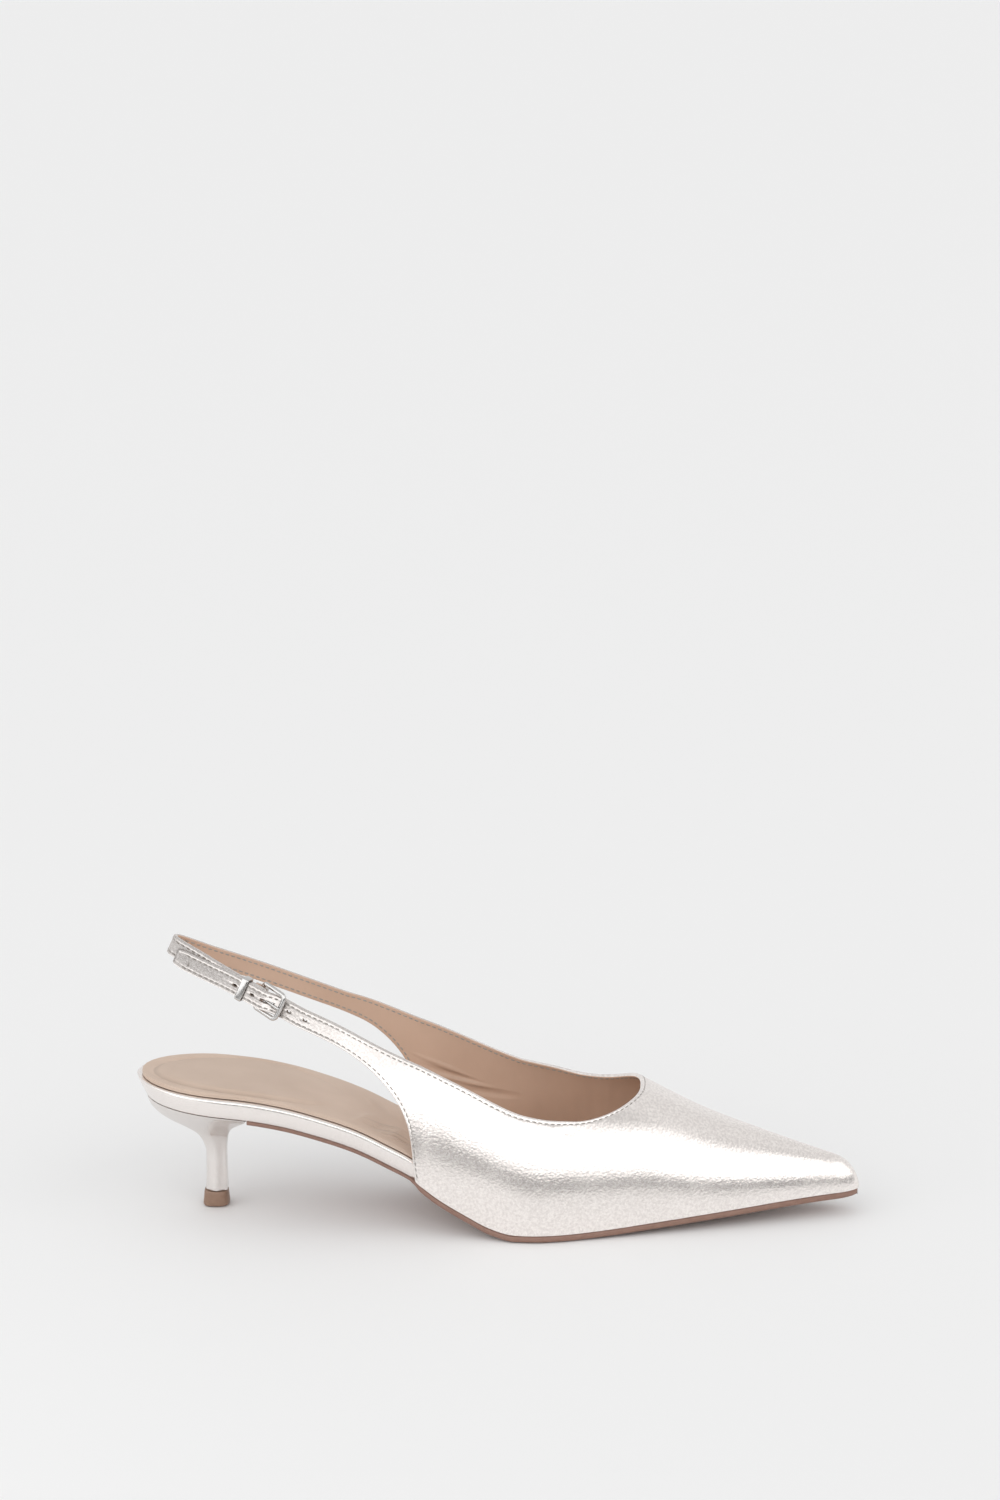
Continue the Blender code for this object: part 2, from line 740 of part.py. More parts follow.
def make_board():
    """The wrapped insole board: its sides lean in to a narrower underside."""
    end = LENGTH - BOARD_TOE_ROOM
    rings = []
    for place in plate_stations(0.0, end, SEAT_ROUND, TOE_ROUND):
        low_x = BOARD_FLARE + place * (end - BOARD_FLARE) / end
        toe = float(round_end(end - place, TOE_ROUND))
        top, low = float(board_top(place)), float(feather(low_x)) + GAP
        ring = []
        for side, order in ((-1, 1), (1, -1)):
            wide = board_edge(place, top, side, 0.0, 0.0) * toe
            narrow = board_edge(low_x, low, side, BOARD_FLARE, BOARD_SIDE_FLARE) * toe
            levels = [(0.0, narrow), (0.45, narrow + (wide - narrow) * 0.66), (0.88, wide)]
            roll = 0.0004 * min(1.0, wide / 0.004)
            levels += [(1.0, wide - roll), (1.0, wide * 0.94 - roll)]
            for level, half in levels[::order]:
                x = low_x + (place - low_x) * level
                ring.append((x, float(axis_y(x)) + side * half, low + (top - low) * level))
        rings.append(ring)
    return loft("insole_board", rings, METAL_LEATHER, 50)


def make_sock():
    """The insole lining glued on the board, a rim inside its edge."""
    end = LENGTH - SOCK_TOE_ROOM
    rings = []
    for x in plate_stations(RIM, end, SEAT_ROUND - RIM, TOE_ROUND):
        low = float(board_top(x)) + GAP
        toe = float(round_end(end - x, TOE_ROUND))

        def profile(side):
            half = board_edge(x, low + SOCK, side, RIM, RIM) * toe
            soft = min(0.0006, half / 3)
            return [(half, low), (half, low + SOCK - soft), (half - soft, low + SOCK)]

        rings.append(both_sides(x, profile))
    return loft("insole_sock", rings, TAN_SOCK)


def heel_level(x, share):
    """Heel levels lie flat at the top piece and follow the sloping seat at the top."""
    floor = TOP_PIECE_HEIGHT + GAP
    return floor + (float(feather(x)) - floor) * share


def make_heel():
    """A slim stem with a round back and a narrow flat breast, spreading to the seat."""
    place = Matrix.Translation((HEEL_CENTRE, 0.0, 0.0))
    seat_back = BOARD_FLARE + GAP
    stem_back, stem_front = HEEL_CENTRE - STEM_LENGTH / 2, HEEL_CENTRE + STEM_LENGTH / 2
    heights = column(HEEL_FLARE, 0)
    rings = []
    for share in np.concatenate([np.linspace(0, 0.5, 5), np.linspace(0.56, 1.0, 12)]):
        back, breast, spread = (float(smooth(heights, column(HEEL_FLARE, c), share)) for c in (1, 2, 3))
        x_back = stem_back + (seat_back - stem_back) * back
        x_front = stem_front + (HEEL_BREAST - stem_front) * breast
        near = []
        for k in range(1, HEEL_STEPS + 1):
            depth = 1 - math.cos(math.pi / 2 * k / HEEL_STEPS)
            x = x_back + (x_front - x_back) * depth
            seat = board_edge(x, 0.0, -1, BOARD_FLARE, BOARD_SIDE_FLARE)
            closing = 1 - STEM_CLOSING * float(ease((depth - 0.5) / 0.5))
            stem = STEM_WIDTH / 2 * float(round_end(depth, 0.6)) * closing
            near.append((x, stem + (max(seat, stem) - stem) * spread))
        plan = [(x_back, 0.0)] + [(x, -y) for x, y in near] + [(x, y) for x, y in reversed(near)]
        rings.append([(x - HEEL_CENTRE, y, heel_level(x, share)) for x, y in plan])
    return loft("heel", rings, METAL_LEATHER, 45, place)


def make_top_piece():
    """The small tread under the stem, flat on the floor."""
    place = Matrix.Translation((HEEL_CENTRE, 0.0, 0.0))
    rings = []
    for z, grow in ((0.0, 0.86), (TOP_PIECE_BEVEL, 1.0), (TOP_PIECE_HEIGHT / 2, 0.965), (TOP_PIECE_HEIGHT, 0.90)):
        ring = []
        for k in range(20):
            c, s = math.cos(math.pi * k / 10), math.sin(math.pi * k / 10)
            x = TOP_PIECE_LENGTH / 2 * grow * math.copysign(abs(c) ** 0.55, c)
            y = TOP_PIECE_WIDTH / 2 * grow * math.copysign(abs(s) ** 0.62, s) * (1 - 0.14 * max(0.0, c))
            ring.append((x, y, z))
        rings.append(ring)
    return loft("top_piece", rings, HEEL_TIP, 40, place)


def make_upper():
    """Vamp, wings, buckled strap and sling as one continuous wall."""
    tail, vamp, back = tail_rows(), vamp_rows(-1), vamp_rows(1)
    start = len(tail) + WING_STEPS
    front = tail + wing_rows(-1) + vamp + back[-2::-1] + wing_rows(1)[-2::-1]
    sling, fold_slot = sling_rows()
    outer = np.array(front + sling)
    inner = inner_face(outer)
    for i in range(start - 1, start + 2 * len(vamp)):
        inner[i, 0, 2] = float(feather(inner[i, 0, 0])) + GAP
    middle = ACROSS // 2
    centres, slot = hole_rows()
    cells = [(c + a, middle + b) for c in centres for a in (-1, 0) for b in (-1, 0)]
    cells += [(i, middle + b) for i in slot for b in (-1, 0)]
    cells += [(len(front) + i, middle + b) for i in fold_slot for b in (-1, 0)]
    return wall_solid("upper", outer, inner, set(cells), METAL_LEATHER)


# The buckle


def strap_place(point, ahead):
    """A place on the buckle side: X along the strap, Y across it, Z outward."""
    ahead = ahead / np.linalg.norm(ahead)
    axes = [plane_vector(*ahead), plane_vector(0, 0, 1), plane_vector(ahead[1], -ahead[0])]
    place = Matrix([[*(axis[r] for axis in axes), in_plane(point)[r]] for r in range(3)] + [[0, 0, 0, 1]])
    return place


def buckle_place():
    pivot = loop_point(PIVOT, -1, -fold_radius())
    bar = loop_point(PIVOT + FRAME_REACH, -1, bar_offset())
    return strap_place(pivot, bar - pivot), float(np.linalg.norm(bar - pivot))


def rounded_box(low, high, half, low_round, high_round, steps=4):
    """A rounded rectangle in plan, with the outward direction at each point."""
    corners = [(low, -half, low_round, 180), (high, -half, high_round, 270), (high, half, high_round, 0),
               (low, half, low_round, 90)]
    points = []
    for x, y, corner, start in corners:
        cx = x + corner if x == low else x - corner
        cy = y + corner if y < 0 else y - corner
        for k in range(steps + 1):
            angle = math.radians(start + 90 * k / steps)
            points.append((cx + corner * math.cos(angle), cy + corner * math.sin(angle), angle))
    return points


def make_frame():
    """A round-wire frame whose thinner rear side is the bar that the sling is folded round."""
    place, reach = buckle_place()
    half = STRAP_WIDTH / 2 + 1.1 * GAP + FRAME_WIRE
    rings = []
    for x, y, angle in rounded_box(0.0, reach, half, half - STRAP_WIDTH / 2 - GAP / 2, FRAME_CORNER):
        wire = BAR_RADIUS + (FRAME_WIRE - BAR_RADIUS) * float(ease(x / 0.0006))
        turns = [2 * math.pi * k / 10 for k in range(10)]
        ring = [(x + wire * math.cos(t) * math.cos(angle), y + wire * math.cos(t) * math.sin(angle),
                 wire * math.sin(t)) for t in turns]
        rings.append(ring)
    return closed_sweep("buckle_frame", rings, BUCKLE_METAL, 60, place)


def make_prong():
    """A wire hooked round the bar, through the strap's hole, and resting on the frame's outer side."""
    place, reach = buckle_place()
    hook = BAR_RADIUS + GAP + PRONG_WIRE
    path = [(hook * math.cos(math.radians(a)), hook * math.sin(math.radians(a))) for a in range(340, 89, -25)]
    rest = FRAME_WIRE + GAP + PRONG_WIRE
    path += [(reach * s, hook + (rest - hook) * s) for s in (0.25, 0.5, 0.75, 0.95)]
    path += [(reach + FRAME_WIRE * 0.7, rest - 0.0001)]
    rings = []
    for k, (x, z) in enumerate(path):
        before, after = path[max(k - 1, 0)], path[min(k + 1, len(path) - 1)]
        ahead = np.array(after) - np.array(before)
        ahead /= np.linalg.norm(ahead)
        turns = [2 * math.pi * s / 8 for s in range(8)]
        rings.append([(x - ahead[1] * PRONG_WIRE * math.cos(t), PRONG_WIRE * math.sin(t),
                       z + ahead[0] * PRONG_WIRE * math.cos(t)) for t in turns])
    return loft("buckle_prong", rings, BUCKLE_METAL, 60, place)


def make_keeper():
    """A flat metal band round the sling and the tail of the buckled strap."""
    step = 0.001
    ahead = loop_point(KEEPER_AT + step, -1) - loop_point(KEEPER_AT - step, -1)
    place = strap_place(loop_point(KEEPER_AT, -1), ahead)
    low, high = -WALL / 2 - GAP - KEEPER_THICK, 1.5 * WALL + 2 * GAP + KEEPER_THICK
    half = STRAP_WIDTH / 2 + GAP + KEEPER_THICK
    rings = []
    for z, y, angle in rounded_box(low, high, half, 0.0009, 0.0009, 3):
        zi, yi = z - KEEPER_THICK * math.cos(angle), y - KEEPER_THICK * math.sin(angle)
        edge = KEEPER_WIDTH / 2
        rings.append([(-edge, y, z), (edge, y, z), (edge, yi, zi), (-edge, yi, zi)])
    return closed_sweep("keeper", rings, BUCKLE_METAL, 35, place)


def stand_on_floor(shoe):
    """Moves the whole shoe so that its box is centred over the origin, on the floor."""
    points = [np.array(piece.matrix_basis @ v.co) for piece in shoe.children for v in piece.data.vertices]
    low, high = np.min(points, axis=0), np.max(points, axis=0)
    shoe.location = (-(low[0] + high[0]) / 2, -(low[1] + high[1]) / 2, -low[2])


def main():
    clear_scene()
    shoe = bpy.data.objects.new("shoe", None)
    bpy.context.scene.collection.objects.link(shoe)
    make_outsole()
    make_board()
    make_sock()
    make_heel()
    make_top_piece()
    make_upper()
    make_frame()
    make_prong()
    make_keeper()
    stand_on_floor(shoe)


main()
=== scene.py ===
"""Looks of the slingback kitten heel pump: fine surfaces over its solids, materials, floor, light, camera."""

import math

import bmesh
import bpy
import numpy as np
from mathutils import Matrix, Vector


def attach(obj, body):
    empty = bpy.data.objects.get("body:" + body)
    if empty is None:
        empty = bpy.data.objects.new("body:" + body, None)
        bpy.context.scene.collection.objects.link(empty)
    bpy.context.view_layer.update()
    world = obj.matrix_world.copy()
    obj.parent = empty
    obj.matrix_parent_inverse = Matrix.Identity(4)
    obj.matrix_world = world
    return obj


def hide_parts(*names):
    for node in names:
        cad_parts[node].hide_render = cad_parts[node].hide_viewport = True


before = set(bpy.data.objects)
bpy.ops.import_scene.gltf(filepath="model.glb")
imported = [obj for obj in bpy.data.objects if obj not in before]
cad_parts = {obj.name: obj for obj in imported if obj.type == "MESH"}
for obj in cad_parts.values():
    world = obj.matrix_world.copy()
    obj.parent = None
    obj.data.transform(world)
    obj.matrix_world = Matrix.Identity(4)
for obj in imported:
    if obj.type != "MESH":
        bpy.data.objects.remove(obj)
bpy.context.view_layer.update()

# Length and widths of the shoe
LENGTH = 0.2526
BALL_WIDTH = 0.0690
SEAT_WIDTH = 0.0496
WAIST_WIDTH = 0.0465
TOE_WIDTH = 0.0214
SEAT_ROUND = 0.030
TOE_ROUND = 0.0075
TOE_SWING = 0.0020

# Heights
SEAT_RISE = 0.0400
TOE_SPRING = 0.0064
INSTEP_HEIGHT = 0.0470
STRAP_BACK_HEIGHT = 0.0954

# Thicknesses and the gap between glued pieces
GAP = 0.0003
WALL = 0.0015
WAIST_SOLE = 0.0013
TREAD_SOLE = 0.0020
SOLE_BEVEL = 0.0005
SEAT_BOARD = 0.0068
TREAD_BOARD = 0.0034
BOARD_FLARE = 0.0034
BOARD_SIDE_FLARE = 0.0012
RIM = 0.0013
SOCK = 0.0012
BOARD_TOE_ROOM = 0.010
SOCK_TOE_ROOM = 0.024

# Opening of the upper and its wings
WING_START = 0.0986
WING_FRONT = 0.503 * LENGTH
THROAT = 0.1762
THROAT_ROUND = 0.022

# Heel and its top piece
HEEL_BREAST = 0.0400
HEEL_CENTRE = 0.0272
STEM_LENGTH = 0.0074
STEM_WIDTH = 0.0084
STEM_CLOSING = 0.36
TOP_PIECE_HEIGHT = 0.0054
TOP_PIECE_LENGTH = 0.0092
TOP_PIECE_WIDTH = 0.0098
TOP_PIECE_BEVEL = 0.0007

# Sling strap: its loop lies in a plane that rises to the back
STRAP_WIDTH = 0.0070
STRAP_SLOPE = math.radians(23.7)
STRAP_BACK = 0.0123
STRAP_END = 0.0640
PIVOT = 0.0345
KEEPER_AT = 0.0295
TAIL_END = 0.0036
FOLD_RETURN = 0.0029
TAIL_DROP = 0.0016
BUCKLE_SAG = 0.0008
HOLE_RADIUS = 0.00042
HOLE_PITCH = 0.0065
FIRST_HOLE = 0.0267
HOLES = 5
PRONG_HOLE = 2
FOLD_SLOT = 0.0022

# Buckle
BAR_RADIUS = 0.0006
FRAME_WIRE = 0.0008
FRAME_REACH = 0.0089
FRAME_RISE = 0.0024
FRAME_CORNER = 0.0016
PRONG_WIRE = 0.00045
KEEPER_WIDTH = 0.0024
KEEPER_THICK = 0.0005

# Fineness of the surfaces
PLATE_STEPS = 110
ACROSS = 16
VAMP_STEPS = 60
WING_STEPS = 20
TAIL_ROWS = 8
HOLE_STEPS = 6
SOCK_STATIONS = 300
SOCK_COLUMNS = 90
HEEL_SIDE_STEPS = 24
FRAME_SIDES = 16
PRONG_SIDES = 14

# Plan of the insole board: place along the shoe, and the two half widths, as shares of the named width
BOARD_PLAN = [
    # along, width, lateral, medial
    (0.000, "seat", 1.00, 1.00),
    (0.110, "seat", 1.00, 1.00),
    (0.158, "seat", 1.00, 0.99),
    (0.214, "seat", 0.985, 0.965),
    (0.265, "waist", 1.07, 0.97),
    (0.317, "waist", 1.08, 0.905),
    (0.352, "waist", 1.09, 0.89),
    (0.388, "waist", 1.10, 0.90),
    (0.420, "ball", 0.795, 0.638),
    (0.459, "ball", 0.860, 0.700),
    (0.499, "ball", 0.938, 0.790),
    (0.530, "ball", 0.995, 0.875),
    (0.556, "ball", 1.000, 0.940),
    (0.586, "ball", 0.965, 0.992),
    (0.617, "ball", 0.900, 1.000),
    (0.657, "ball", 0.822, 0.940),
    (0.709, "ball", 0.718, 0.830),
    (0.768, "ball", 0.602, 0.690),
    (0.835, "ball", 0.459, 0.519),
    (0.903, "toe", 0.953, 1.047),
    (0.950, "toe", 0.580, 0.598),
    (0.978, "toe", 0.392, 0.402),
    (1.000, "toe", 0.300, 0.300),
]

# Underside of the sole: rise as a share of SEAT_RISE, spring as a share of TOE_SPRING. The drop just past
# the middle is where the upper turns in under the board; the two zeros bound the flat tread.
SOLE_LINE = [
    # along, rise, spring
    (0.000, 1.000, 0.00),
    (0.048, 0.977, 0.00),
    (0.115, 0.945, 0.00),
    (0.162, 0.915, 0.00),
    (0.202, 0.870, 0.00),
    (0.253, 0.790, 0.00),
    (0.305, 0.683, 0.00),
    (0.354, 0.535, 0.00),
    (0.384, 0.433, 0.00),
    (0.400, 0.352, 0.00),
    (0.421, 0.262, 0.00),
    (0.459, 0.136, 0.00),
    (0.497, 0.032, 0.00),
    (0.525, 0.000, 0.00),
    (0.602, 0.000, 0.00),
    (0.657, 0.000, 0.09),
    (0.713, 0.000, 0.25),
    (0.768, 0.000, 0.42),
    (0.835, 0.000, 0.62),
    (0.903, 0.000, 0.81),
    (1.000, 0.000, 1.00),
]

# Ridge of the last above the feather line, as a share of INSTEP_HEIGHT, and the fullness of its two sides.
# Behind the throat the ridge is only where the side walls would meet.
RIDGE_LINE = [
    # along, ridge, lateral_fullness, medial_fullness
    (0.250, 1.42, 0.05, 0.05),
    (0.388, 1.405, 0.10, 0.10),
    (0.432, 1.395, 0.24, 0.22),
    (0.475, 1.368, 0.38, 0.34),
    (0.526, 1.300, 0.51, 0.46),
    (0.566, 1.222, 0.59, 0.55),
    (0.604, 1.140, 0.64, 0.62),
    (0.653, 1.050, 0.66, 0.68),
    (0.697, 0.960, 0.68, 0.72),
    (0.733, 0.848, 0.73, 0.76),
    (0.776, 0.716, 0.80, 0.82),
    (0.820, 0.612, 0.86, 0.87),
    (0.864, 0.514, 0.90, 0.91),
    (0.910, 0.414, 0.93, 0.94),
    (0.955, 0.325, 0.95, 0.95),
    (0.977, 0.282, 0.95, 0.95),
    (1.000, 0.240, 0.95, 0.95),
]

# Topline as turns of the section, before the throat closes it
TOPLINE = [
    # along, lateral, medial
    (0.480, 0.494, 0.468),
    (0.520, 0.493, 0.465),
    (0.566, 0.486, 0.460),
    (0.602, 0.463, 0.451),
    (0.637, 0.440, 0.445),
    (0.665, 0.430, 0.445),
    (0.700, 0.425, 0.445),
]

# Wing edges seen from the side, as shares of LENGTH and of STRAP_BACK_HEIGHT: the cut edge at the back
# of the wing and the point of the topline across from it.
WING_EDGES = [
    # rear_along, rear_height, top_along, top_lateral, top_medial
    (0.3080, 0.650, 0.321, 0.723, 0.727),
    (0.3330, 0.600, 0.352, 0.685, 0.693),
    (0.3540, 0.540, 0.384, 0.647, 0.657),
    (0.3700, 0.472, 0.413, 0.613, 0.628),
    (0.3810, 0.395, 0.438, 0.581, 0.599),
    (0.3860, 0.310, 0.461, 0.553, 0.571),
    (0.3885, 0.225, 0.482, 0.528, 0.546),
]

# Plan of the strap loop: distance from its back along the sloping plane, and sideways on either side, as
# shares of the loop's length from its back to the wings (STRAP_END)
STRAP_LOOP = [
    # back, lateral, medial
    (0.000, 0.006, -0.006),
    (0.012, 0.034, 0.022),
    (0.045, 0.054, 0.042),
    (0.110, 0.074, 0.060),
    (0.200, 0.100, 0.080),
    (0.320, 0.142, 0.119),
    (0.440, 0.188, 0.158),
    (0.560, 0.229, 0.190),
    (0.680, 0.265, 0.217),
    (0.830, 0.305, 0.250),
    (1.000, 0.342, 0.286),
    (1.200, 0.378, 0.318),
]

# Heel from the top piece up: height as a share of the room under the seat, and how far its back, breast
# and sides have gone from the stem (0) to the outline of the seat (1)
HEEL_FLARE = [
    # height, back, breast, side
    (0.000, 0.00, 0.00, 0.000),
    (0.220, -0.01, -0.02, -0.010),
    (0.400, -0.01, -0.03, -0.012),
    (0.515, 0.04, -0.01, 0.020),
    (0.610, 0.13, 0.06, 0.090),
    (0.700, 0.31, 0.17, 0.230),
    (0.790, 0.54, 0.36, 0.450),
    (0.885, 0.77, 0.64, 0.710),
    (0.955, 0.92, 0.87, 0.900),
    (1.000, 1.00, 1.00, 1.000),
]

# Stitching: from stitch to stitch, and the length, radius and height of one
STITCH_PITCH = 0.0022
STITCH_LENGTH = 0.0015
STITCH_RADIUS = 0.00021
STITCH_LIFT = 0.00006
# Place along a stitch and its width there, as shares
STITCH_BEAD = ((0.0, 0.45), (0.18, 0.95), (0.5, 1.05), (0.82, 0.95), (1.0, 0.45))
# Distances of the extra columns from an edge of the upper and their heights: the folded edge, then the seam
EDGE_COLUMNS = (0.0, 0.0005, 0.0009, 0.0013, 0.0017)
EDGE_RELIEF = (0.0, 0.00006, 0.00004, -0.00010, 0.0)
# Gap from those columns to the next one, and the room kept on either side of the middle for the holes
EDGE_GAP = 0.0003
HOLE_ROOM = 0.0007
# Last rows of the sling, at the fold round the bar, where no stitches go
ROWS_AT_FOLD = 14
# Rows on either side of a join of wing and vamp that are drawn smooth, and how many times
KINK_REACH = 10
KINK_PASSES = 60

# How far the sole stops short of the toe, and its lower edge: inset and rise, counted in bevels
SOLE_SHORT = 0.0006
SOLE_EDGE = ((3.5, 0.0), (1.7, 0.12), (0.6, 0.6), (0.0, 1.5))
# Rounding of the board's upper edge, and of the keeper's corners
BOARD_ROLL = 0.0008
KEEPER_ROUND = 0.0009
# Section of the keeper: place along the strap and depth from its outer face, as shares of half its width
# and of its thickness
KEEPER_SECTION = (
    (-1, 0.35), (-0.94, 0.1), (-0.8, 0.0), (0.8, 0.0), (0.94, 0.1),
    (1, 0.35), (1, 0.8), (0.9, 1.0), (-0.9, 1.0), (-1, 0.8),
)

# Sock: how far it is set in from the solid's edge, the rounding of its edge, and its creases
SOCK_SET_IN = 0.0006
SOCK_EDGE_ROUND = 0.0004
SOCK_CREASES = [
    # along, lean, height, width, start_across
    (0.084, -0.35, 0.000475, 0.0017, 0.001),
    (0.089, -0.30, -0.000475, 0.0019, 0.002),
    (0.094, -0.25, 0.00055, 0.0016, 0.001),
    (0.099, -0.25, -0.00045, 0.0020, 0.004),
    (0.104, -0.20, 0.000425, 0.0020, 0.003),
]
# Raised oval of the seat: centre along the shoe, half its length, half its width; then its two heights
SEAT_OVAL = (0.0400, 0.0345, 0.0192)
CUSHION_RISE = 0.0006
GROOVE_DEPTH = 0.0007
# Place where the cushion has gone, and over what length it goes
CUSHION_END = 0.074
CUSHION_FADE = 0.020
# How far out the creases reach on the inner and the outer side, and over what widths they come in at their
# start and go at either end
CREASE_INNER = 0.016
CREASE_OUTER = 0.0205
CREASE_FADE = (0.008, 0.010, 0.006)

# From the shoe's own coordinates, with X from the back of the seat, to the frame's
SHIFT = np.array([-0.126348, 0.0, 0.0])


# Curves through the tables


def smooth(xs, ys, x):
    """A curve through the rows that never overshoots them and is level where two rows are equal."""
    xs, ys, x = np.asarray(xs, float), np.asarray(ys, float), np.asarray(x, float)
    step = np.diff(xs)
    slope = np.diff(ys) / step
    tangent = np.zeros(len(xs))
    same_way = slope[:-1] * slope[1:] > 0
    before, after = 2 * step[1:] + step[:-1], step[1:] + 2 * step[:-1]
    with np.errstate(divide="ignore", invalid="ignore"):
        mean = (before + after) / (before / slope[:-1] + after / slope[1:])
    tangent[1:-1] = np.where(same_way, mean, 0.0)
    tangent[0], tangent[-1] = slope[0], slope[-1]
    place = np.clip(np.searchsorted(xs, x) - 1, 0, len(xs) - 2)
    t = np.clip((x - xs[place]) / step[place], 0.0, 1.0)
    start, end = ys[place], ys[place + 1]
    lean_in, lean_out = tangent[place] * step[place], tangent[place + 1] * step[place]
    return (
        start * (2 * t**3 - 3 * t**2 + 1)
        + lean_in * (t**3 - 2 * t**2 + t)
        + end * (3 * t**2 - 2 * t**3)
        + lean_out * (t**3 - t**2)
    )


def column(rows, number):
    return [row[number] for row in rows]


def curve(rows, number, x, span=LENGTH):
    """A column of a table at x; the table's first column is a share of the span."""
    return smooth([row[0] * span for row in rows], column(rows, number), x)


def ease(t):
    t = np.clip(t, 0.0, 1.0)
    return t * t * (3 - 2 * t)


def unit(vector):
    return vector / np.linalg.norm(vector)


def steps_along(line):
    """Distance of each point of a line from its first point, along the line."""
    return np.concatenate([[0], np.cumsum(np.linalg.norm(np.diff(line, axis=0), axis=1))])


def point_along(line, steps, distance):
    return [np.interp(distance, steps, line[:, k]) for k in range(3)]


def round_end(distance, length):
    """Half width of a rounded end, as a share, at a distance from its tip."""
    return np.sqrt(np.clip(1 - (1 - np.clip(np.asarray(distance) / length, 0, 1)) ** 2, 0, 1))


# The last: plan, underside and section


def board_rows():
    width = {"seat": SEAT_WIDTH, "waist": WAIST_WIDTH, "ball": BALL_WIDTH, "toe": TOE_WIDTH}
    along = [row[0] * LENGTH for row in BOARD_PLAN]
    lateral = [row[2] * width[row[1]] / 2 for row in BOARD_PLAN]
    medial = [row[3] * width[row[1]] / 2 for row in BOARD_PLAN]
    return along, lateral, medial


def axis_y(x):
    """The middle of the shoe in plan: it swings inwards past the ball."""
    return TOE_SWING * ease((np.asarray(x) / LENGTH - 0.58) / 0.42)


def board_half(x, side):
    """Half width of the board before its ends are rounded; side is -1 lateral, +1 medial."""
    along, lateral, medial = board_rows()
    return smooth(along, lateral if side < 0 else medial, x)


def upper_half(x, side):
    """Half width of the upper's outer face at the feather line."""
    return (board_half(x, side) + WALL + GAP) * round_end(LENGTH - x, TOE_ROUND)


def tread(x):
    """Height of the sole's underside."""
    along = [row[0] * LENGTH for row in SOLE_LINE]
    height = [row[1] * SEAT_RISE + row[2] * TOE_SPRING for row in SOLE_LINE]
    return smooth(along, height, x)


def past_wing(x, reach=0.004):
    """0 behind the wings' lower corners, 1 in front of them."""
    return ease((np.asarray(x) - WING_START + reach / 2) / reach)


def feather(x):
    """Height of the face where the sole meets the board and the upper."""
    return tread(x) + WAIST_SOLE + (TREAD_SOLE - WAIST_SOLE) * past_wing(x)


def board_thickness(x):
    share = np.asarray(x) / LENGTH
    return SEAT_BOARD + (TREAD_BOARD - SEAT_BOARD) * ease((share - 0.40) / 0.16)


def board_top(x):
    return feather(x) + GAP + board_thickness(x)


def ridge_height(x):
    """Height of the last's ridge above the feather line."""
    return (curve(RIDGE_LINE, 1, x) * INSTEP_HEIGHT - TREAD_SOLE) * round_end(LENGTH - x, TOE_ROUND)


def fullness(x, side):
    """How square the last's section is: 1 is an ellipse, less is squarer."""
    return float(curve(RIDGE_LINE, 2 if side < 0 else 3, x))


def last_out(x, z, side):
    """How far the upper's outer face is from the middle of the shoe at height z."""
    share = np.clip((z - feather(x) - GAP) / ridge_height(x), 0, 1)
    return float(upper_half(x, side) * np.sqrt(1 - share**2) ** fullness(x, side))


def last_at_turn(x, turn, side):
    """A point of the upper's outer face: turn is 0 on the ridge and 1 at the feather line."""
    angle = turn * math.pi / 2
    out = float(upper_half(x, side)) * math.sin(angle) ** fullness(x, side)
    z = float(feather(x) + ridge_height(x) * math.cos(angle)) + GAP
    return np.array([x, float(axis_y(x)) + side * out, z])


def last_at_plan(x, out, side):
    """A point of the upper's outer face over a point of the plan."""
    half = max(float(upper_half(x, side)), 1e-6)
    sine = min(1.0, out / half) ** (1 / fullness(x, side))
    z = float(feather(x)) + GAP + float(ridge_height(x)) * math.sqrt(max(0.0, 1 - sine * sine))
    return np.array([x, float(axis_y(x)) + side * out, z])


def room_inside(x, z, side):
    """Half width left inside the upper's wall, a gap clear of it."""
    step = 0.0002
    here = last_out(x, z, side)
    along = (last_out(x + step, z, side) - last_out(x - step, z, side)) / (2 * step)
    upward = (last_out(x, z + step, side) - here) / step
    return here - (WALL + 1.2 * GAP) * math.sqrt(1 + along**2 + upward**2)


def topline_turn(x, side):
    """The topline's turn along the sides, closing in a half ellipse at the throat."""
    level = float(curve(TOPLINE, 1 if side < 0 else 2, x))
    reach = max(0.0, (x - (THROAT - THROAT_ROUND)) / THROAT_ROUND)
    return level * math.sqrt(max(0.0, 1 - reach * reach))


# The strap loop in its sloping plane


def plane_vector(forward, aside, lift=0.0):
    """A direction given in the strap's plane: forward, sideways, and across the strap."""
    slope = np.array([math.cos(STRAP_SLOPE), 0.0, -math.sin(STRAP_SLOPE)])
    upward = np.array([math.sin(STRAP_SLOPE), 0.0, math.cos(STRAP_SLOPE)])
    return forward * slope + np.array([0.0, aside, 0.0]) + lift * upward


def in_plane(point, lift=0.0):
    """A point given by its distance forward of the loop's back, sideways, and across the strap.

    The buckle's weight draws its side of the loop down a little.
    """
    low = ease((-point[1] - 0.002) / 0.008) * ease((STRAP_END - point[0]) / 0.022)
    sag = BUCKLE_SAG * float(low)
    return np.array([STRAP_BACK, 0.0, STRAP_BACK_HEIGHT]) + plane_vector(point[0], point[1], lift - sag)


def loop_aside(back, side):
    """Sideways place of the strap's outer face on one side of the loop."""
    aside = [share * STRAP_END for share in column(STRAP_LOOP, 1 if side < 0 else 2)]
    return side * float(smooth([row[0] * STRAP_END for row in STRAP_LOOP], aside, back))


def outward(back, side):
    """The outward direction in the strap's plane."""
    step = 0.0002
    low = max(back - step, 0.0)
    ahead = unit(np.array([back + step - low, loop_aside(back + step, side) - loop_aside(low, side)]))
    return np.array([-ahead[1], ahead[0]]) * side


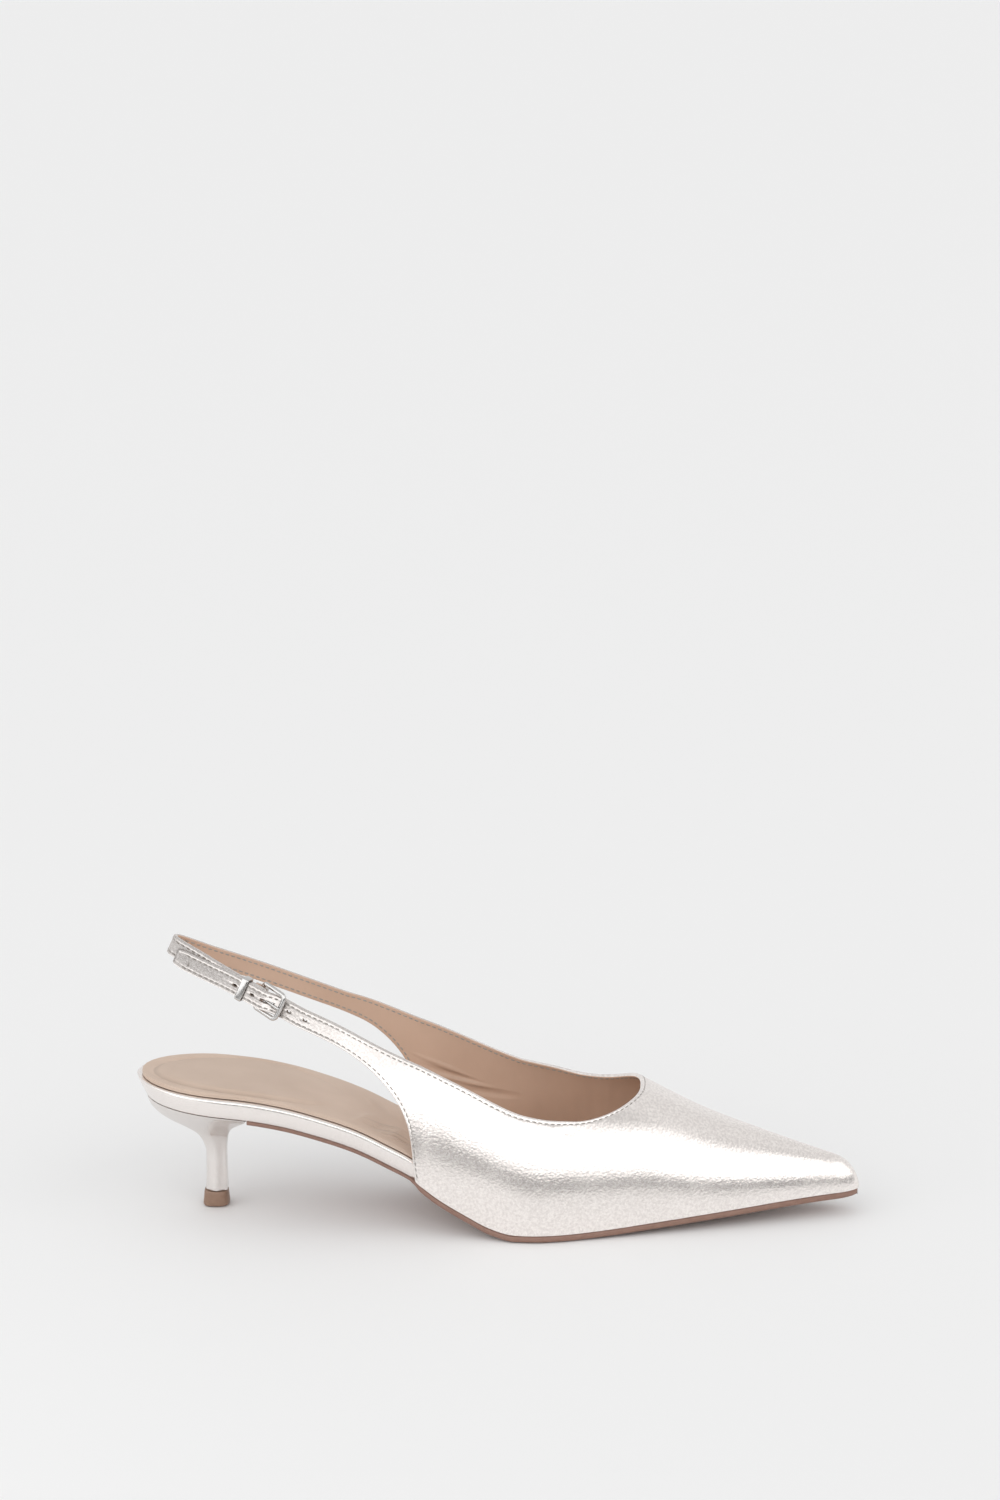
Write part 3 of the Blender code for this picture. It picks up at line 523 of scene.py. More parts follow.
def loop_point(back, side, offset=0.0):
    """A point on the strap's middle line, or an offset outward of it."""
    return np.array([back, loop_aside(back, side)]) + outward(back, side) * (offset - WALL / 2)


def fold_radius():
    """From the middle of the pivot bar to the middle of the strap folded round it."""
    return BAR_RADIUS + GAP + WALL / 2


def bar_offset():
    """Where the outer bar lies, outward of the strap's middle line."""
    return FRAME_RISE - fold_radius()


def tail_offset(back):
    """How far the buckled strap lies outward of the loop: over the folded end, then under the outer bar."""
    over = WALL + GAP
    under = bar_offset() - FRAME_WIRE - GAP - WALL / 2
    start, bar = PIVOT + fold_radius() + WALL / 2, PIVOT + FRAME_REACH - 0.0006
    if back < bar:
        return over + (under - over) * float(ease((back - start) / (bar - start)))
    return under * (1 - float(ease((back - bar - 0.001) / 0.0085)))


# Sections of the upper's outer face, each a row of points from its lower edge to its top edge


def strip_row(point, lift=0.0, share=1.0):
    half = STRAP_WIDTH / 2 * share
    return [in_plane(point, lift + v) for v in np.linspace(-half, half, ACROSS + 1)]


def tail_point(back, across):
    """A point of the buckled strap's outer face; its free end hangs a little below the sling."""
    drop = TAIL_DROP * float(ease((KEEPER_AT - back) / (KEEPER_AT - TAIL_END)))
    return in_plane(loop_point(back, -1, tail_offset(back) + WALL / 2), across - drop)


def hole_rows():
    """Rows of the punched holes among the tail's rows, and the rows of the slot for the prong."""
    first = TAIL_ROWS + 1
    centres = [first + HOLE_STEPS * k for k in range(HOLES)]
    prong = centres.pop(PRONG_HOLE)
    return centres, range(prong - 3, prong + 1)


def tail_rows():
    """The buckled strap from its free end, with the grid drawn in round each punched hole."""
    step = HOLE_PITCH / HOLE_STEPS
    free = np.linspace(TAIL_END, FIRST_HOLE - step, TAIL_ROWS + 1)
    punched = FIRST_HOLE + step * np.arange(0, HOLE_STEPS * (HOLES - 1) + 3)
    last = np.linspace(punched[-1], STRAP_END, 4)[1:]
    backs = np.concatenate([free, punched, last])
    centres, _ = hole_rows()
    middle = ACROSS // 2
    rows = []
    for i, back in enumerate(backs):
        corner = 0.78 + 0.22 * float(round_end(back - TAIL_END, 0.0022))
        row = []
        for j, across in enumerate(np.linspace(-STRAP_WIDTH / 2, STRAP_WIDTH / 2, ACROSS + 1)):
            near = [c for c in centres if abs(i - c) <= 1 and abs(j - middle) <= 1]
            at, over = back, across * corner
            if near:
                turn = math.atan2(j - middle, i - near[0])
                away = HOLE_RADIUS * (i != near[0] or j != middle)
                at = FIRST_HOLE + step * (near[0] - TAIL_ROWS - 1) + away * math.cos(turn)
                over = away * math.sin(turn)
            row.append(tail_point(at, over))
        rows.append(row)
    return rows


def wing_rows(side):
    """Rows from the strap to the front of the wing."""
    strap = strip_row(loop_point(STRAP_END, side, WALL / 2))
    level = 3 if side < 0 else 4
    rear = [(row[0] * LENGTH, row[1] * STRAP_BACK_HEIGHT) for row in WING_EDGES]
    top = [(row[2] * LENGTH, row[level] * STRAP_BACK_HEIGHT) for row in WING_EDGES]
    rear = [(strap[0][0], strap[0][2])] + rear + [(WING_START, float(feather(WING_START)) + GAP)]
    top = [(strap[-1][0], strap[-1][2])] + top
    top += [(WING_FRONT, last_at_turn(WING_FRONT, topline_turn(WING_FRONT, side), side)[2])]
    knots = np.linspace(0, 1, len(rear))
    rows = []
    for share in np.linspace(0, 1, WING_STEPS + 1)[1:]:
        low = [float(smooth(knots, [p[k] for p in rear], share)) for k in (0, 1)]
        high = [float(smooth(knots, [p[k] for p in top], share)) for k in (0, 1)]
        x, z = (np.linspace(low[k], high[k], ACROSS + 1) for k in (0, 1))
        rows.append([wall_point(float(a), float(b), side) for a, b in zip(x, z)])
    return rows


def wall_point(x, z, side):
    """A point of the side wall. Behind the wing's corner the wall leaves the last and joins the strap."""
    on_last = float(axis_y(x)) + side * last_out(x, z, side)
    on_strap = loop_aside((x - STRAP_BACK) / math.cos(STRAP_SLOPE), side)
    start, end = STRAP_END * 1.10, WING_START * 0.982
    share = float(ease((x - start) / (end - start)))
    return np.array([x, on_strap + (on_last - on_strap) * share, z])


def turn_at(x, z):
    """The turn at which the section at x reaches height z."""
    share = (z - float(feather(x)) - GAP) / float(ridge_height(x))
    return math.acos(min(1.0, max(0.0, share))) / (math.pi / 2)


def fan_row(number, side):
    """A row from the feather line to the topline: straight from the side at the wing, in plan in front."""
    arc = math.sin(number / VAMP_STEPS * math.pi / 2)
    foot = WING_START + (LENGTH - WING_START) * arc**1.15
    top = WING_FRONT + (THROAT - WING_FRONT) * arc**1.05
    turn = topline_turn(top, side)
    z_foot, z_top = float(feather(foot)) + GAP, last_at_turn(top, turn, side)[2]
    out_top = float(upper_half(top, side)) * math.sin(turn * math.pi / 2) ** fullness(top, side)
    out_foot = float(upper_half(foot, side))
    in_front = float(ease(number / (0.6 * VAMP_STEPS)))
    row = []
    for t in np.linspace(1, 0, ACROSS + 1):
        start, here = (math.sin(a * math.pi / 2) ** 0.8 for a in (turn, turn + (1 - turn) * t))
        share = (here - start) / (1 - start)
        by_plan = last_at_plan(top + (foot - top) * share, out_top + (out_foot - out_top) * share, side)
        x_side = top + (foot - top) * t
        turn_side = turn_at(x_side, z_top + (z_foot - z_top) * t)
        x = x_side + (by_plan[0] - x_side) * in_front
        mixed = turn_side + (turn_at(by_plan[0], by_plan[2]) - turn_side) * in_front
        row.append(by_plan if in_front == 1 else last_at_turn(float(x), mixed, side))
    return row


def vamp_rows(side):
    return [fan_row(number, side) for number in range(1, VAMP_STEPS + 1)]


def sling_rows():
    """Rows of the strap from the medial wing, round the back, to the fold at the buckle."""
    places = [(back, 1) for back in np.linspace(STRAP_END, 0.006, 19)]
    places += [(back, 1) for back in (0.0042, 0.0026, 0.0013, 0.0005)]
    places += [(0.0, -1)]
    places += [(back, -1) for back in (0.0005, 0.0013, 0.0026, 0.0042)]
    places += [(back, -1) for back in np.linspace(0.006, PIVOT - FOLD_SLOT, 11)]
    places += [(PIVOT - FOLD_SLOT / 2, -1), (PIVOT, -1)]
    rows = [strip_row(loop_point(back, side, WALL / 2)) for back, side in places]
    slot_start = len(rows) - 3
    radius = fold_radius() + WALL / 2
    out = outward(PIVOT, -1)
    ahead = np.array([-out[1], out[0]])
    centre = loop_point(PIVOT, -1, -fold_radius())
    for angle in np.linspace(0, math.pi, 9)[1:]:
        rows.append(strip_row(centre + radius * (math.cos(angle) * out + math.sin(angle) * ahead)))
    closed = -WALL * 1.5 - GAP
    far = -fold_radius() - radius
    slot_end = len(rows) + 2
    for share in (0.28, 0.55, 0.78, 1.0):
        offset = far + (closed - far) * float(ease(share * 1.1))
        rows.append(strip_row(loop_point(PIVOT - FOLD_RETURN * share, -1, offset)))
    return rows, range(slot_start, slot_end)


def inner_face(outer):
    """The inner face of the wall, one wall thickness inside the outer one."""
    normal = np.cross(np.gradient(outer, axis=0), np.gradient(outer, axis=1))
    normal /= np.linalg.norm(normal, axis=2, keepdims=True)
    return outer - normal * WALL


def plate_stations(start, end, back_round, toe_round, steps=PLATE_STEPS):
    """Places along a plate, close together at its rounded ends."""
    back = start + back_round * (1 - np.cos(np.linspace(0.08, math.pi / 2, 10)[:-1]))
    toe = end - toe_round * (1 - np.cos(np.linspace(math.pi / 2, 0.12, 6)[1:]))
    middle = np.linspace(start + back_round, end - toe_round, steps)
    return np.concatenate([back if back_round else [], middle, toe])


def both_sides(x, profile):
    """A ring at one station: the profile gives (half width, height) from the bottom up on each side."""
    ring = []
    for side, order in ((-1, 1), (1, -1)):
        for half, z in profile(side)[::order]:
            ring.append((x, float(axis_y(x)) + side * float(half), float(z)))
    return ring


def board_edge(x, z, side, start, inset):
    """Edge of the board and of what lies on it, kept clear of the upper's wall in front of the wings."""
    half = float((board_half(x, side) - inset) * round_end(x - start, SEAT_ROUND - inset))
    if x > WING_START - 0.006:
        half = min(half, room_inside(x, z, side))
    return half


def heel_level(x, share):
    """Heel levels lie flat at the top piece and follow the sloping seat at the top."""
    floor = TOP_PIECE_HEIGHT + GAP
    return floor + (float(feather(x)) - floor) * share


def strap_place(point, ahead):
    """A place on the buckle side: X along the strap, Y across it, Z outward."""
    ahead = unit(ahead)
    axes = [plane_vector(*ahead), plane_vector(0, 0, 1), plane_vector(ahead[1], -ahead[0])]
    return Matrix([[*(axis[r] for axis in axes), in_plane(point)[r]] for r in range(3)] + [[0, 0, 0, 1]])


def buckle_place():
    pivot = loop_point(PIVOT, -1, -fold_radius())
    bar = loop_point(PIVOT + FRAME_REACH, -1, bar_offset())
    return strap_place(pivot, bar - pivot), float(np.linalg.norm(bar - pivot))


def rounded_box(low, high, half, low_round, high_round, steps=4):
    """A rounded rectangle in plan, with the outward direction at each point."""
    corners = [(low, -half, low_round, 180), (high, -half, high_round, 270), (high, half, high_round, 0),
               (low, half, low_round, 90)]
    points = []
    for x, y, corner, start in corners:
        cx = x + corner if x == low else x - corner
        cy = y + corner if y < 0 else y - corner
        for k in range(steps + 1):
            angle = math.radians(start + 90 * k / steps)
            points.append((cx + corner * math.cos(angle), cy + corner * math.sin(angle), angle))
    return points


# Materials


def fill(tree, node, inputs):
    """Gives each input its value, or links it from the output given for it."""
    for name, value in inputs.items():
        if isinstance(value, bpy.types.NodeSocket):
            tree.links.new(value, node.inputs[name])
        else:
            node.inputs[name].default_value = value


def add(tree, kind, inputs, **settings):
    node = tree.nodes.new("ShaderNode" + kind)
    for name, value in settings.items():
        setattr(node, name, value)
    fill(tree, node, inputs)
    return node


def noise(tree, where, scale, detail, rough):
    inputs = {"Vector": where, "Scale": scale, "Detail": detail, "Roughness": rough}
    return add(tree, "TexNoise", inputs).outputs["Fac"]


def ramp(tree, value, stops):
    node = add(tree, "ValToRGB", {"Fac": value})
    band = node.color_ramp.elements
    band[0].position, band[0].color = stops[0][0], (*stops[0][1], 1)
    band[1].position, band[1].color = stops[-1][0], (*stops[-1][1], 1)
    for place, colour in stops[1:-1]:
        band.new(place).color = (*colour, 1)
    return node.outputs["Color"]


def greys(stops):
    return [(place, (level,) * 3) for place, level in stops]


def coordinate(tree, where, axis):
    return add(tree, "SeparateXYZ", {"Vector": where}).outputs[axis]


def fade(tree, value, start, end, low=0.0, high=1.0):
    """Goes softly from low to high while the value goes from start to end."""
    inputs = {"Value": value, "From Min": start, "From Max": end, "To Min": low, "To Max": high}
    return add(tree, "MapRange", inputs, interpolation_type="SMOOTHSTEP").outputs["Result"]


def mixed(tree, first, second, share, kind="MIX"):
    inputs = {"A": first, "B": second, "Factor": share}
    return add(tree, "Mix", inputs, data_type="RGBA", blend_type=kind).outputs["Result"]


def reach(tree, where, centre, half_sizes, turn=(0.0, 0.0, 0.0)):
    """How far a place is from a centre, counted in half sizes."""
    inputs = {"Vector": where, "Location": centre, "Rotation": turn, "Scale": half_sizes}
    scaled = add(tree, "Mapping", inputs, vector_type="TEXTURE").outputs["Vector"]
    return add(tree, "VectorMath", {0: scaled}, operation="LENGTH").outputs["Value"]


def bump(tree, height, strength, distance, normal=None):
    inputs = {"Height": height, "Strength": strength, "Distance": distance}
    if normal is not None:
        inputs["Normal"] = normal
    return add(tree, "Bump", inputs).outputs["Normal"]


def folds(tree, where, marks, normal):
    """Listed soft folds, each a long low ridge or trough at its place, in the shading alone."""
    for centre, turn, half_sizes, height in marks:
        turned = tuple(math.radians(t) for t in turn)
        away = reach(tree, where, tuple(np.array(centre) + SHIFT), half_sizes, turned)
        normal = bump(tree, fade(tree, away, 1.0, 0.0, 0.0, height), 1.0, 1.0, normal)
    return normal


def leaning(tree, height, lean):
    """The normal leaning inward more and more above LEAN_FROM, in the shading alone."""
    steps = (("SUBTRACT", LEAN_FROM), ("MAXIMUM", 0.0), ("POWER", 2.0), ("MULTIPLY", -lean / 2))
    for operation, value in steps:
        height = add(tree, "Math", {0: height, 1: value}, operation=operation).outputs["Value"]
    return bump(tree, height, 1.0, 1.0)


def new_material(name, inputs):
    """A material, its nodes, its shader with some inputs filled, and the place on the piece."""
    made = bpy.data.materials.new(name)
    made.use_nodes = True
    tree = made.node_tree
    shader = tree.nodes["Principled BSDF"]
    fill(tree, shader, inputs)
    return made, tree, shader, add(tree, "TexCoord", {}).outputs["Object"]


def foil(name, dark, light, grain=1.0, lean=0.0):
    """Pale metallic foil on smooth synthetic leather, with a fine sparkling grain."""
    made, tree, shader, where = new_material(name, {"Metallic": 0.88, "IOR": 1.5})
    fine = noise(tree, where, 1150, 1.0, 0.5)
    soft = noise(tree, where, 55, 2.0, 0.5)
    height = coordinate(tree, where, "Z")
    colour = ramp(tree, fine, [(0.36, dark), (0.64, light)])
    normal = bump(tree, soft, 0.10 * grain, 0.0012, leaning(tree, height, lean))
    if lean:
        normal = folds(tree, where, VAMP_FOLDS, normal)
        # The colour darkened with height toward the straps: painted shade
        colour = mixed(tree, colour, fade(tree, height, *PAINTED_SHADE_HEIGHTS, 1.0, STRAP_PAINTED_SHADE), 1.0, "MULTIPLY")
    normal = bump(tree, fine, 0.34 * grain, 0.00016, normal)
    rough = ramp(tree, soft, greys([(0.3, 0.21), (0.7, 0.27)]))
    fill(tree, shader, {"Base Color": colour, "Roughness": rough, "Normal": normal})
    return made


def lining(name, colour, light, ripple, marks, seat=False):
    """Smooth matt lining with a pore grain, faint mottling and soft ripples; on the seat, its oval a little
    darker inside and a painted shade along its groove.
    """
    made, tree, shader, where = new_material(name, {"Roughness": 0.55, "Specular IOR Level": 0.35})
    pores = noise(tree, where, 1500, 3.0, 0.6)
    shade = ramp(tree, noise(tree, where, 60, 3.0, 0.5), [(0.25, colour), (0.75, light)])
    if seat:
        centre, half_length, half_width = SEAT_OVAL
        away = reach(tree, where, (centre + SHIFT[0], 0.0, 0.0), (half_length, half_width, 1000.0))
        # The seat's oval a little darker inside, and darker still along its groove: painted shade in the
        # groove
        groove_shade = ramp(tree, away, greys([(0.0, 0.94), (0.93, 0.94), (0.985, 0.80), (1.0, 1.0)]))
        share = fade(tree, coordinate(tree, where, "X"), *(x + SHIFT[0] for x in SEAT_GROOVE_SHADE_FADE))
        shade = mixed(tree, shade, groove_shade, share, "MULTIPLY")
    along_wall = {"Vector": where, "Scale": (1.0, 0.25, 0.18), "Rotation": (0.0, 0.35, 0.0)}
    waves = noise(tree, add(tree, "Mapping", along_wall).outputs["Vector"], 95, 2.0, 0.45)
    normal = folds(tree, where, marks, bump(tree, waves, ripple, 0.0022))
    fill(tree, shader, {"Base Color": shade, "Normal": bump(tree, pores, 0.25, 0.00012, normal)})
    return made


def plain(name, colour, light, roughness, scale=400, strength=0.15):
    made, tree, shader, where = new_material(name, {"Roughness": roughness})
    speckle = noise(tree, where, scale, 4.0, 0.6)
    shade = ramp(tree, speckle, [(0.3, colour), (0.7, light)])
    fill(tree, shader, {"Base Color": shade, "Normal": bump(tree, speckle, strength, 0.0002)})
    return made


def polished(name):
    made, tree, shader, where = new_material(name, {"Metallic": 1.0, "Base Color": (0.62, 0.61, 0.60, 1)})
    wear = noise(tree, where, 700, 3.0, 0.5)
    rough = ramp(tree, wear, greys([(0.3, 0.10), (0.7, 0.22)]))
    fill(tree, shader, {"Roughness": rough, "Normal": bump(tree, wear, 0.05, 0.0001)})
    return made


# Folds as centre, turn in degrees, half sizes and height
VAMP_FOLDS = [
    ((0.151, -0.033, 0.0375), (0, 8, 0), (0.0050, 0.02, 0.0016), -0.00015),
    ((0.147, -0.033, 0.0390), (0, 14, 0), (0.0055, 0.02, 0.0018), 0.00012),
]
LINING_FOLDS = [
    ((0.1050, 0.030, 0.0450), (0, 24, 0), (0.0150, 0.02, 0.0016), 0.00060),
    ((0.1080, 0.030, 0.0415), (0, 20, 0), (0.0170, 0.02, 0.0018), -0.00060),
    ((0.1130, 0.030, 0.0385), (0, 16, 0), (0.0150, 0.02, 0.0016), 0.00055),
    ((0.1210, 0.030, 0.0340), (0, 12, 0), (0.0170, 0.02, 0.0022), -0.00050),
]
SOCK_FOLDS = [
    ((0.0880, -0.0080, 0.030), (0, 0, 28), (0.0130, 0.0016, 1.0), 0.00070),
    ((0.0900, -0.0120, 0.030), (0, 0, 22), (0.0120, 0.0016, 1.0), -0.00070),
    ((0.0930, -0.0155, 0.030), (0, 0, 18), (0.0130, 0.0016, 1.0), 0.00075),
]
# Places along the shoe between which the painted shade along the seat's groove comes in, from front to back
SEAT_GROOVE_SHADE_FADE = (0.070, 0.045)
# Height above which the shine of the upper leans inward more and more, as on a last that closes over the foot
LEAN_FROM = 0.0155
# Heights between which the foil's colour is darkened toward the straps, a painted shade, and how dark it gets
# there
PAINTED_SHADE_HEIGHTS = (0.052, 0.062)
STRAP_PAINTED_SHADE = 0.80

METAL = foil("metallic_foil", (0.86, 0.805, 0.775), (0.99, 0.94, 0.905), 1.0, 10.0)
WRAP = foil("wrapped_foil", (0.90, 0.85, 0.82), (0.94, 0.89, 0.86), 0.7)
# The heel's foil is the same as the upper's, painted darker: painted shade for the darker reflections on the
# heel
SHADED_HEEL_FOIL = foil("heel_foil_painted_shade", (0.80, 0.76, 0.735), (0.84, 0.80, 0.775), 0.7)
LINING = lining("tan_lining", (0.59, 0.41, 0.305), (0.65, 0.46, 0.35), 0.5, LINING_FOLDS)
SOCK_LINING = lining("tan_sock", (0.595, 0.46, 0.37), (0.655, 0.515, 0.42), 0.12, SOCK_FOLDS, True)
THREAD = plain("stitch_thread", (0.30, 0.28, 0.26), (0.40, 0.375, 0.35), 0.7, 3000, 0.5)
SOLE = plain("sole_brown", (0.24, 0.135, 0.10), (0.29, 0.17, 0.13), 0.5, 500, 0.2)
TIP = plain("top_piece_brown", (0.24, 0.145, 0.098), (0.29, 0.18, 0.125), 0.42, 600, 0.15)
SILVER = polished("polished_buckle")
DARK = plain("punched_edge", (0.22, 0.17, 0.14), (0.30, 0.24, 0.20), 0.8)


# Making pieces


def piece(name, vertices, faces, looks, node, smooth_angle=50, choose=None, level=0):
    mesh = bpy.data.meshes.new(name)
    mesh.from_pydata([tuple(map(float, v)) for v in vertices], [], faces)
    for look in looks:
        mesh.materials.append(look)
    if choose is not None:
        mesh.polygons.foreach_set("material_index", choose)
    working = bmesh.new()
    working.from_mesh(mesh)
    bmesh.ops.delete(working, geom=[v for v in working.verts if not v.link_faces], context="VERTS")
    if working.calc_volume(signed=True) < 0:
        bmesh.ops.reverse_faces(working, faces=working.faces)
    working.to_mesh(mesh)
    working.free()
    mesh.shade_smooth()
    if not level:
        mesh.set_sharp_from_angle(angle=math.radians(smooth_angle))
    made = linked(name, mesh)
    if level:
        change = made.modifiers.new("fine", "SUBSURF")
        change.levels = change.render_levels = level
    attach(made, "root")
    if node:
        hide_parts(node)


def linked(name, data):
    """An object of the scene that shows the mesh, light or camera given."""
    made = bpy.data.objects.new(name, data)
    bpy.context.scene.collection.objects.link(made)
    return made


def in_frame(points):
    """From the shoe's own coordinates, with X from the back of the seat, to the frame."""
    return np.asarray(points, float) + SHIFT


def ring_faces(rings, closed):
    """Faces between rings of points, with a cap on the first and the last unless they close on each other."""
    count = len(rings[0])
    last = (len(rings) - 1) * count
    faces = [] if closed else [tuple(range(count))[::-1], tuple(range(last, last + count))]
    for k in range(len(rings) if closed else len(rings) - 1):
        here, ahead = k * count, (k + 1) % len(rings) * count
        for j in range(count):
            beside = (j + 1) % count
            faces.append((here + j, here + beside, ahead + beside, ahead + j))
    return faces


def placed(rings, place):
    return [[place @ Vector(p) for p in ring] for ring in rings]


def ring_piece(name, rings, look, node, smooth_angle=50, closed=False):
    points = in_frame([tuple(p) for ring in rings for p in ring])
    piece(name, points, ring_faces(rings, closed), [look], node, smooth_angle)


def dress_outsole():
    end = LENGTH - SOLE_SHORT
    rings = []
    for x in plate_stations(HEEL_BREAST + GAP, end, 0.0, TOE_ROUND):
        low, high = tread(x), feather(x) + GAP * 0.8

        def profile(side):
            at_waist = board_half(x, side) - BOARD_SIDE_FLARE
            at_upper = board_half(x, side) + WALL + GAP
            half = (at_waist + (at_upper - at_waist) * past_wing(x)) * round_end(end - x, TOE_ROUND)
            rounded = [(half - inset * SOLE_BEVEL, low + rise * SOLE_BEVEL) for inset, rise in SOLE_EDGE]
            return rounded + [(half, high - 0.3 * SOLE_BEVEL), (half - 0.3 * SOLE_BEVEL, high)]

        rings.append(both_sides(x, profile))
    ring_piece("sole", rings, SOLE, "outsole", 60)


def dress_board():
    end = LENGTH - BOARD_TOE_ROOM
    rings = []
    for at in plate_stations(0.0, end, SEAT_ROUND, TOE_ROUND):
        low_x = BOARD_FLARE + at * (end - BOARD_FLARE) / end
        toe = float(round_end(end - at, TOE_ROUND))
        top, low = float(board_top(at)), float(feather(low_x)) + GAP
        ring = []
        for side, order in ((-1, 1), (1, -1)):
            wide = board_edge(at, top, side, 0.0, 0.0) * toe
            narrow = board_edge(low_x, low, side, BOARD_FLARE, BOARD_SIDE_FLARE) * toe
            roll = BOARD_ROLL * min(1.0, wide / 0.004)
            levels = [(0.0, narrow - roll * 0.4), (0.05, narrow)]
            levels += [(v, narrow + (wide - narrow) * math.sin(v / 0.86 * math.pi / 2) ** 0.8)
                       for v in (0.2, 0.4, 0.6, 0.75, 0.86)]
            levels += [(0.93, wide - roll * 0.18), (0.98, wide - roll * 0.6), (1.0, wide - roll * 1.2)]
            levels += [(1.0, wide * 0.93 - roll * 1.2)]
            for level, half in levels[::order]:
                x = low_x + (at - low_x) * level
                ring.append((x, float(axis_y(x)) + side * half, low + (top - low) * level))
        rings.append(ring)
    ring_piece("wrapped_board", rings, WRAP, "insole_board", 70)


def sock_relief(x, across):
    """Raised oval cushion on the seat, edged by a shallow groove, and soft creases behind the wings."""
    centre, half_length, half_width = SEAT_OVAL
    oval = math.hypot((x - centre) / half_length, across / half_width)
    cushion = CUSHION_RISE * float(1 - ease((oval - 0.88) / 0.10))
    groove = GROOVE_DEPTH * math.exp(-(((oval - 1.0) / 0.045) ** 2))
    relief = float(ease((CUSHION_END - x) / CUSHION_FADE)) * (cushion - groove)
    for at, lean, height, wide, start in SOCK_CREASES:
        away = x - at - lean * abs(across)
        share = ease((abs(across) - start) / CREASE_FADE[0]) * ease((CREASE_INNER - across) / CREASE_FADE[1])
        share = float(share * ease((CREASE_OUTER + across) / CREASE_FADE[2]))
        relief += height * math.exp(-((away / wide) ** 2)) * share
    return relief


def dress_sock():
    end = LENGTH - SOCK_TOE_ROOM
    rings = []
    inset = RIM + SOCK_SET_IN
    for x in plate_stations(inset, end, SEAT_ROUND - inset, TOE_ROUND, SOCK_STATIONS):
        low = float(board_top(x)) + GAP
        toe = float(round_end(end - x, TOE_ROUND))
        left, right = (board_edge(x, low + SOCK, side, inset, inset) * toe for side in (-1, 1))
        middle = float(axis_y(x))
        ring = [(x, middle - left, low), (x, middle - left, low + SOCK * 0.55)]
        for k in range(SOCK_COLUMNS + 1):
            turn = math.pi * k / SOCK_COLUMNS
            share = -math.cos(turn) * 0.45 + (2 * k / SOCK_COLUMNS - 1) * 0.55
            across = share * (right if share > 0 else left)
            edge = float(ease((1 - abs(share)) / 0.05))
            inward = SOCK_EDGE_ROUND * min(1.0, left / 0.003) * (1 - edge) * (1 if share < 0 else -1)
            z = low + SOCK * (0.62 + 0.38 * edge) + sock_relief(x, across) * edge
            ring.append((x, middle + across + inward, z))
        ring += [(x, middle + right, low + SOCK * 0.55), (x, middle + right, low)]
        rings.append(ring)
    ring_piece("sock", rings, SOCK_LINING, "insole_sock", 60)


def dress_heel():
    seat_back = BOARD_FLARE + GAP
    stem_back, stem_front = HEEL_CENTRE - STEM_LENGTH / 2, HEEL_CENTRE + STEM_LENGTH / 2
    rings = []
    for share in np.concatenate([[0.0, 0.012], np.linspace(0.03, 0.5, 12), np.linspace(0.52, 1.0, 40)]):
        back, breast, spread = (float(curve(HEEL_FLARE, c, share, 1.0)) for c in (1, 2, 3))
        x_back = stem_back + (seat_back - stem_back) * back
        x_front = stem_front + (HEEL_BREAST - stem_front) * breast
        near = []
        for k in range(1, HEEL_SIDE_STEPS + 1):
            depth = 1 - math.cos(math.pi / 2 * k / HEEL_SIDE_STEPS)
            x = x_back + (x_front - x_back) * depth
            seat = board_edge(x, 0.0, -1, BOARD_FLARE, BOARD_SIDE_FLARE)
            closing = 1 - STEM_CLOSING * float(ease((depth - 0.5) / 0.5))
            stem = STEM_WIDTH / 2 * float(round_end(depth, 0.6)) * closing
            near.append((x, stem + (max(seat, stem) - stem) * spread))
        near.append((near[-1][0] + 0.0003, near[-1][1] * 0.9))
        shrink = 0.97 if share == 0 else 1.0
        plan = [(x_back, 0.0)] + [(x, -y * shrink) for x, y in near]
        plan += [(x, y * shrink) for x, y in reversed(near)]
        lift = GAP * 0.8 if share == 1.0 else 0.0
        rings.append([(x, y, heel_level(min(x, HEEL_BREAST), share) + lift) for x, y in plan])
    ring_piece("wrapped_heel", rings, SHADED_HEEL_FOIL, "heel", 40)


def dress_top_piece():
    bevel, height = TOP_PIECE_BEVEL, TOP_PIECE_HEIGHT
    levels = [(0, 0.80), (0.0001, 0.88), (bevel * 0.35, 0.955), (bevel, 1.0), (bevel * 2, 1.0)]
    levels += [(height * 0.45, 0.972), (height * 0.75, 0.935), (height - 0.0003, 0.91), (height, 0.88)]
    rings = []
    for z, grow in levels:
        ring = []
        for k in range(64):
            c, s = math.cos(math.pi * k / 32), math.sin(math.pi * k / 32)
            x = TOP_PIECE_LENGTH / 2 * grow * math.copysign(abs(c) ** 0.55, c)
            y = TOP_PIECE_WIDTH / 2 * grow * math.copysign(abs(s) ** 0.62, s) * (1 - 0.14 * max(0.0, c))
            ring.append((HEEL_CENTRE + x, y, z))
        rings.append(ring)
    ring_piece("heel_tip", rings, TIP, "top_piece", 50)


# The upper


def upper_rows():
    """The outer face's grid, the sling's first row, the joins of wing and vamp, and the fold's slot."""
    tail, vamp, back = tail_rows(), vamp_rows(-1), vamp_rows(1)
    front = tail + wing_rows(-1) + vamp + back[-2::-1] + wing_rows(1)[-2::-1]
    sling, fold_slot = sling_rows()
    joins = (len(tail) + WING_STEPS, len(tail) + WING_STEPS + 2 * len(vamp) - 1)
    return np.array([with_edges(row) for row in front + sling]), len(front), joins, fold_slot


